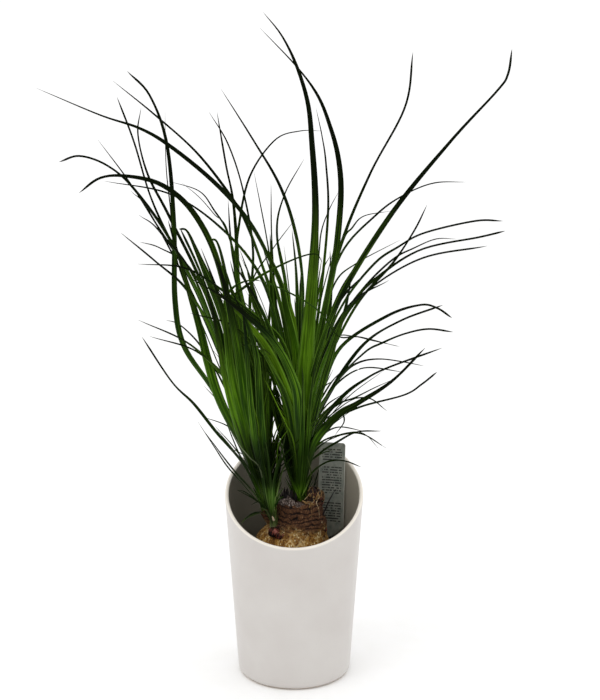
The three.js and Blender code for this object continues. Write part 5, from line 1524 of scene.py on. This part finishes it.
def makeSoil():
    angles = ringAngles(soil["sides"])
    wall = growerRadius(soil["edgeHeight"]) - grower["wall"] - soil["gap"]
    uneven = 0.9 * np.sin(5 * angles + 1.3) + 0.6 * np.sin(11 * angles)
    edge = roundRing(angles, wall, soil["edgeHeight"] + uneven)
    inner = caudexPoint(angles, soil["middleHeight"], -1.5)
    draw = np.random.default_rng(soil["seed"])
    waves = [(draw.uniform(0.05, 0.35, 2), draw.uniform(0, 6.28)) for _ in range(9)]

    def lumpy(ring, share):
        lift = sum(np.sin(ring[:, :2] @ pitch + start) for pitch, start in waves) / 4
        return ring + np.stack([0 * lift, 0 * lift, lift * soil["lumpDepth"] * share], axis=1)

    foot = soil["foot"]
    rings = [roundRing(angles, growerRadius(foot) - grower["wall"] - soil["gap"], foot)]
    rings += ringsBetween(rings[0], edge, 4) + [edge]
    rings += [lumpy(ring, math.sin(math.pi * (i + 1) / (soil["rows"] + 1)))
              for i, ring in enumerate(ringsBetween(edge, inner, soil["rows"]))]
    rings.append(inner)
    mesh = ringSkin("soil_surface", (0, 0, foot), rings, (*caudex["bulbCentre"], soil["middleHeight"] - 6))
    material = pottingSoil()
    mesh.materials.append(material)
    crumbs = shapeObject("soil_crumbs", mesh.copy(), crumbTree(material), {
        "Spacing": soil["crumbSpacing"] * mm, "Smallest": soil["crumbSmallest"] * mm,
        "Largest": soil["crumbLargest"] * mm, "Seed": soil["seed"]})
    print("soil crumb faces:", len(crumbs.data.polygons))
    settle(newObject("soil_surface", mesh), "soil")
    settle(crumbs, "soil")


makeSoil()
print("soil filled")


# Thin extruded polystyrene: satin grey with paler cut edges and rows of dark dashes that read as nothing
def labelPlastic():
    material, tree, shader = newMaterial("satin_grey_polystyrene")
    add = functools.partial(addNode, tree)
    place = add("ShaderNodeTexCoord")["Object"]
    across = add("ShaderNodeAttribute", {"attribute_name": "labelAcross"})["Fac"]
    up = add("ShaderNodeAttribute", {"attribute_name": "labelUp"})["Fac"]
    scuff = add("ShaderNodeTexNoise", None, {"Vector": place, "Scale": scaleFor(6), "Detail": 5.0})
    base = add("ShaderNodeValToRGB", {"ramp": [(0.3, "#6a7068"), (0.7, "#8e8f84")]}, {
        "Fac": scuff["Fac"]})
    # rows 2.7 mm apart, cut into dashes by a noise that changes from row to row
    rows = add("ShaderNodeMath", {"operation": "DIVIDE"}, {0: up, 1: 2.7})
    line = add("ShaderNodeMath", {"operation": "COMPARE"}, {
        0: add("ShaderNodeMath", {"operation": "FRACT"}, {0: rows[0]})[0], 1: 0.5, 2: 0.24})
    rowNumber = add("ShaderNodeMath", {"operation": "FLOOR"}, {0: rows[0]})
    breaks = add("ShaderNodeTexNoise", None, {
        "Vector": add("ShaderNodeCombineXYZ", None, {
            "X": add("ShaderNodeMath", {"operation": "MULTIPLY"}, {0: across, 1: 0.5})[0],
            "Y": add("ShaderNodeMath", {"operation": "MULTIPLY"}, {
                0: rowNumber[0], 1: 7.3})[0]})[0],
        "Scale": 1.0, "Detail": 1.0})
    dash = add("ShaderNodeMath", {"operation": "GREATER_THAN"}, {0: breaks["Fac"], 1: 0.44})
    blocks = add("ShaderNodeValToRGB", {"ramp": [
        (0.0, "#000000"), (0.06, "#ffffff"), (0.3, "#000000"), (0.38, "#ffffff"), (0.72, "#000000"),
        (0.78, "#ffffff"), (0.93, "#000000")]}, {
        "Fac": add("ShaderNodeMapRange", None, {
            "Value": up, "From Min": label["faceBottom"], "From Max": label["top"]})["Result"]})
    blocks["Color"].node.color_ramp.interpolation = "CONSTANT"
    margin = add("ShaderNodeMath", {"operation": "COMPARE"}, {0: across, 1: 0.0, 2: 10.5})
    ink = line[0]
    for part in (dash[0], blocks["Color"], margin[0]):
        ink = add("ShaderNodeMath", {"operation": "MULTIPLY"}, {0: ink, 1: part})[0]
    printed = add("ShaderNodeMix", {"data_type": "RGBA"}, {
        "Factor": add("ShaderNodeMath", {"operation": "MULTIPLY"}, {0: ink, 1: 0.92})[0],
        "A": base["Color"], "B": linearColour("#10120c")})
    cut = add("ShaderNodeMapRange", None, {
        "Value": add("ShaderNodeMath", {"operation": "ABSOLUTE"}, {0: across})[0],
        "From Min": 13.3, "From Max": 13.8})
    edged = add("ShaderNodeMix", {"data_type": "RGBA"}, {
        "Factor": cut["Result"], "A": printed[2], "B": linearColour("#b4b5aa")})
    coat(tree, shader, edged[2], scuff["Fac"], 0.2, 0.1)
    shader.inputs["Roughness"].default_value = 0.5
    shader.inputs["Specular IOR Level"].default_value = 0.3
    return material


def makeLabel():
    corner, top = label["corner"], label["top"]
    levels = [label["point"] + label["pointGap"], label["point"] + label["pointRise"], *label["footRows"],
              label["footTop"], *label["wideningRows"], label["faceBottom"],
              *np.linspace(label["faceStart"], top - corner, 18)]
    levels += [top - corner * (1 - math.sin(turn)) for turn in np.linspace(0.2, 1.5, 7)]
    turns, half = ringAngles(label["sides"]), label["thickness"] / 2
    rings = []
    for level in levels:
        if level < label["footTop"]:
            share = min(1, (level - label["point"]) / label["pointRise"])
            left, right = (label["footShift"] + side * share * label["footWidth"] / 2 for side in (-1, 1))
        elif level <= top - corner:
            share = min(1, (level - label["footTop"]) / (label["faceBottom"] - label["footTop"]))
            left = (label["footShift"] - label["footWidth"] / 2) * (1 - share) - label["width"] / 2 * share
            right = (label["footShift"] + label["footWidth"] / 2) * (1 - share) + label["width"] / 2 * share
        else:
            over = level - (top - corner)
            reach = label["width"] / 2 - corner + math.sqrt(max(0, corner ** 2 - over ** 2))
            left, right = -reach, reach
        # a flat section with rounded edges, and points all across its two faces
        x = (left + right) / 2 + (right - left) / 2 * np.cos(turns)
        y = half * np.clip(np.sin(turns) * (right - left) / 2 / label["edgeRound"], -1, 1)
        rings.append(np.stack([x, y, level + 0 * x], axis=1))
    mesh = ringSkin("stick_label", (label["footShift"], 0, label["point"]), rings, (0, 0, top))
    places = np.array([vertex.co[:] for vertex in mesh.vertices]) / mm
    addAttribute(mesh, "labelAcross", places[:, 0])
    addAttribute(mesh, "labelUp", places[:, 2])
    # the face bows a little, its edges towards the front
    bow = -label["bow"] * (places[:, 0] / (label["width"] / 2)) ** 2
    placed = [labelPlacing @ Vector((x, y + lift, z)) for (x, y, z), lift in zip(places, bow)]
    mesh.vertices.foreach_set("co", np.array(placed, dtype=np.float32).ravel() * mm)
    mesh.materials.append(labelPlastic())
    settle(newObject("stick_label", mesh), "plant_label")


makeLabel()
print("stick label set in the soil")


# Matt white seamless paper under and behind the plant
def makeFloor():
    material, tree, shader = newMaterial("matt_white_paper")
    add = functools.partial(addNode, tree)
    place = add("ShaderNodeTexCoord")["Object"]
    fibre = add("ShaderNodeTexNoise", None, {"Vector": place, "Scale": scaleFor(30), "Detail": 3.0})
    colour = add("ShaderNodeValToRGB", {"ramp": [(0.3, "#fafaf9"), (0.7, "#fcfcfc")]}, {
        "Fac": fibre["Fac"]})
    tree.links.new(colour["Color"], shader.inputs["Base Color"])
    shader.inputs["Roughness"].default_value = 0.9
    shader.inputs["Specular IOR Level"].default_value = 0.0
    size = 12.0
    floor = newObject("floor", newMesh("floor", [(-size, -size, 0), (size, -size, 0), (size, size, 0),
                                                 (-size, size, 0)], [(0, 1, 2, 3)]))
    floor.data.materials.append(material)


light = {
    "skyStrength": 1.07, "keyPower": 7.5, "keySize": 1.2, "keyPlace": (-1.2, -1.0, 2.0),
    "fillPower": 3.0, "fillSize": 1.6, "fillPlace": (1.9, -0.3, 1.1), "aim": (0, 0, 0.25),
}


def makeLights():
    world = bpy.data.worlds.new("studio")
    scene.world = world
    world.use_nodes = True
    sky = world.node_tree.nodes["Background"]
    sky.inputs["Color"].default_value = (1, 1, 1, 1)
    sky.inputs["Strength"].default_value = light["skyStrength"]
    for name in ("key", "fill"):
        lamp = bpy.data.lights.new(name, "AREA")
        lamp.energy = light[name + "Power"]
        lamp.size = light[name + "Size"]
        place = Vector(light[name + "Place"])
        standAt(newObject(name, lamp), place, Vector(light["aim"]) - place)


makeFloor()
makeLights()
scene.view_settings.view_transform = "Standard"
print("floor and lights set")
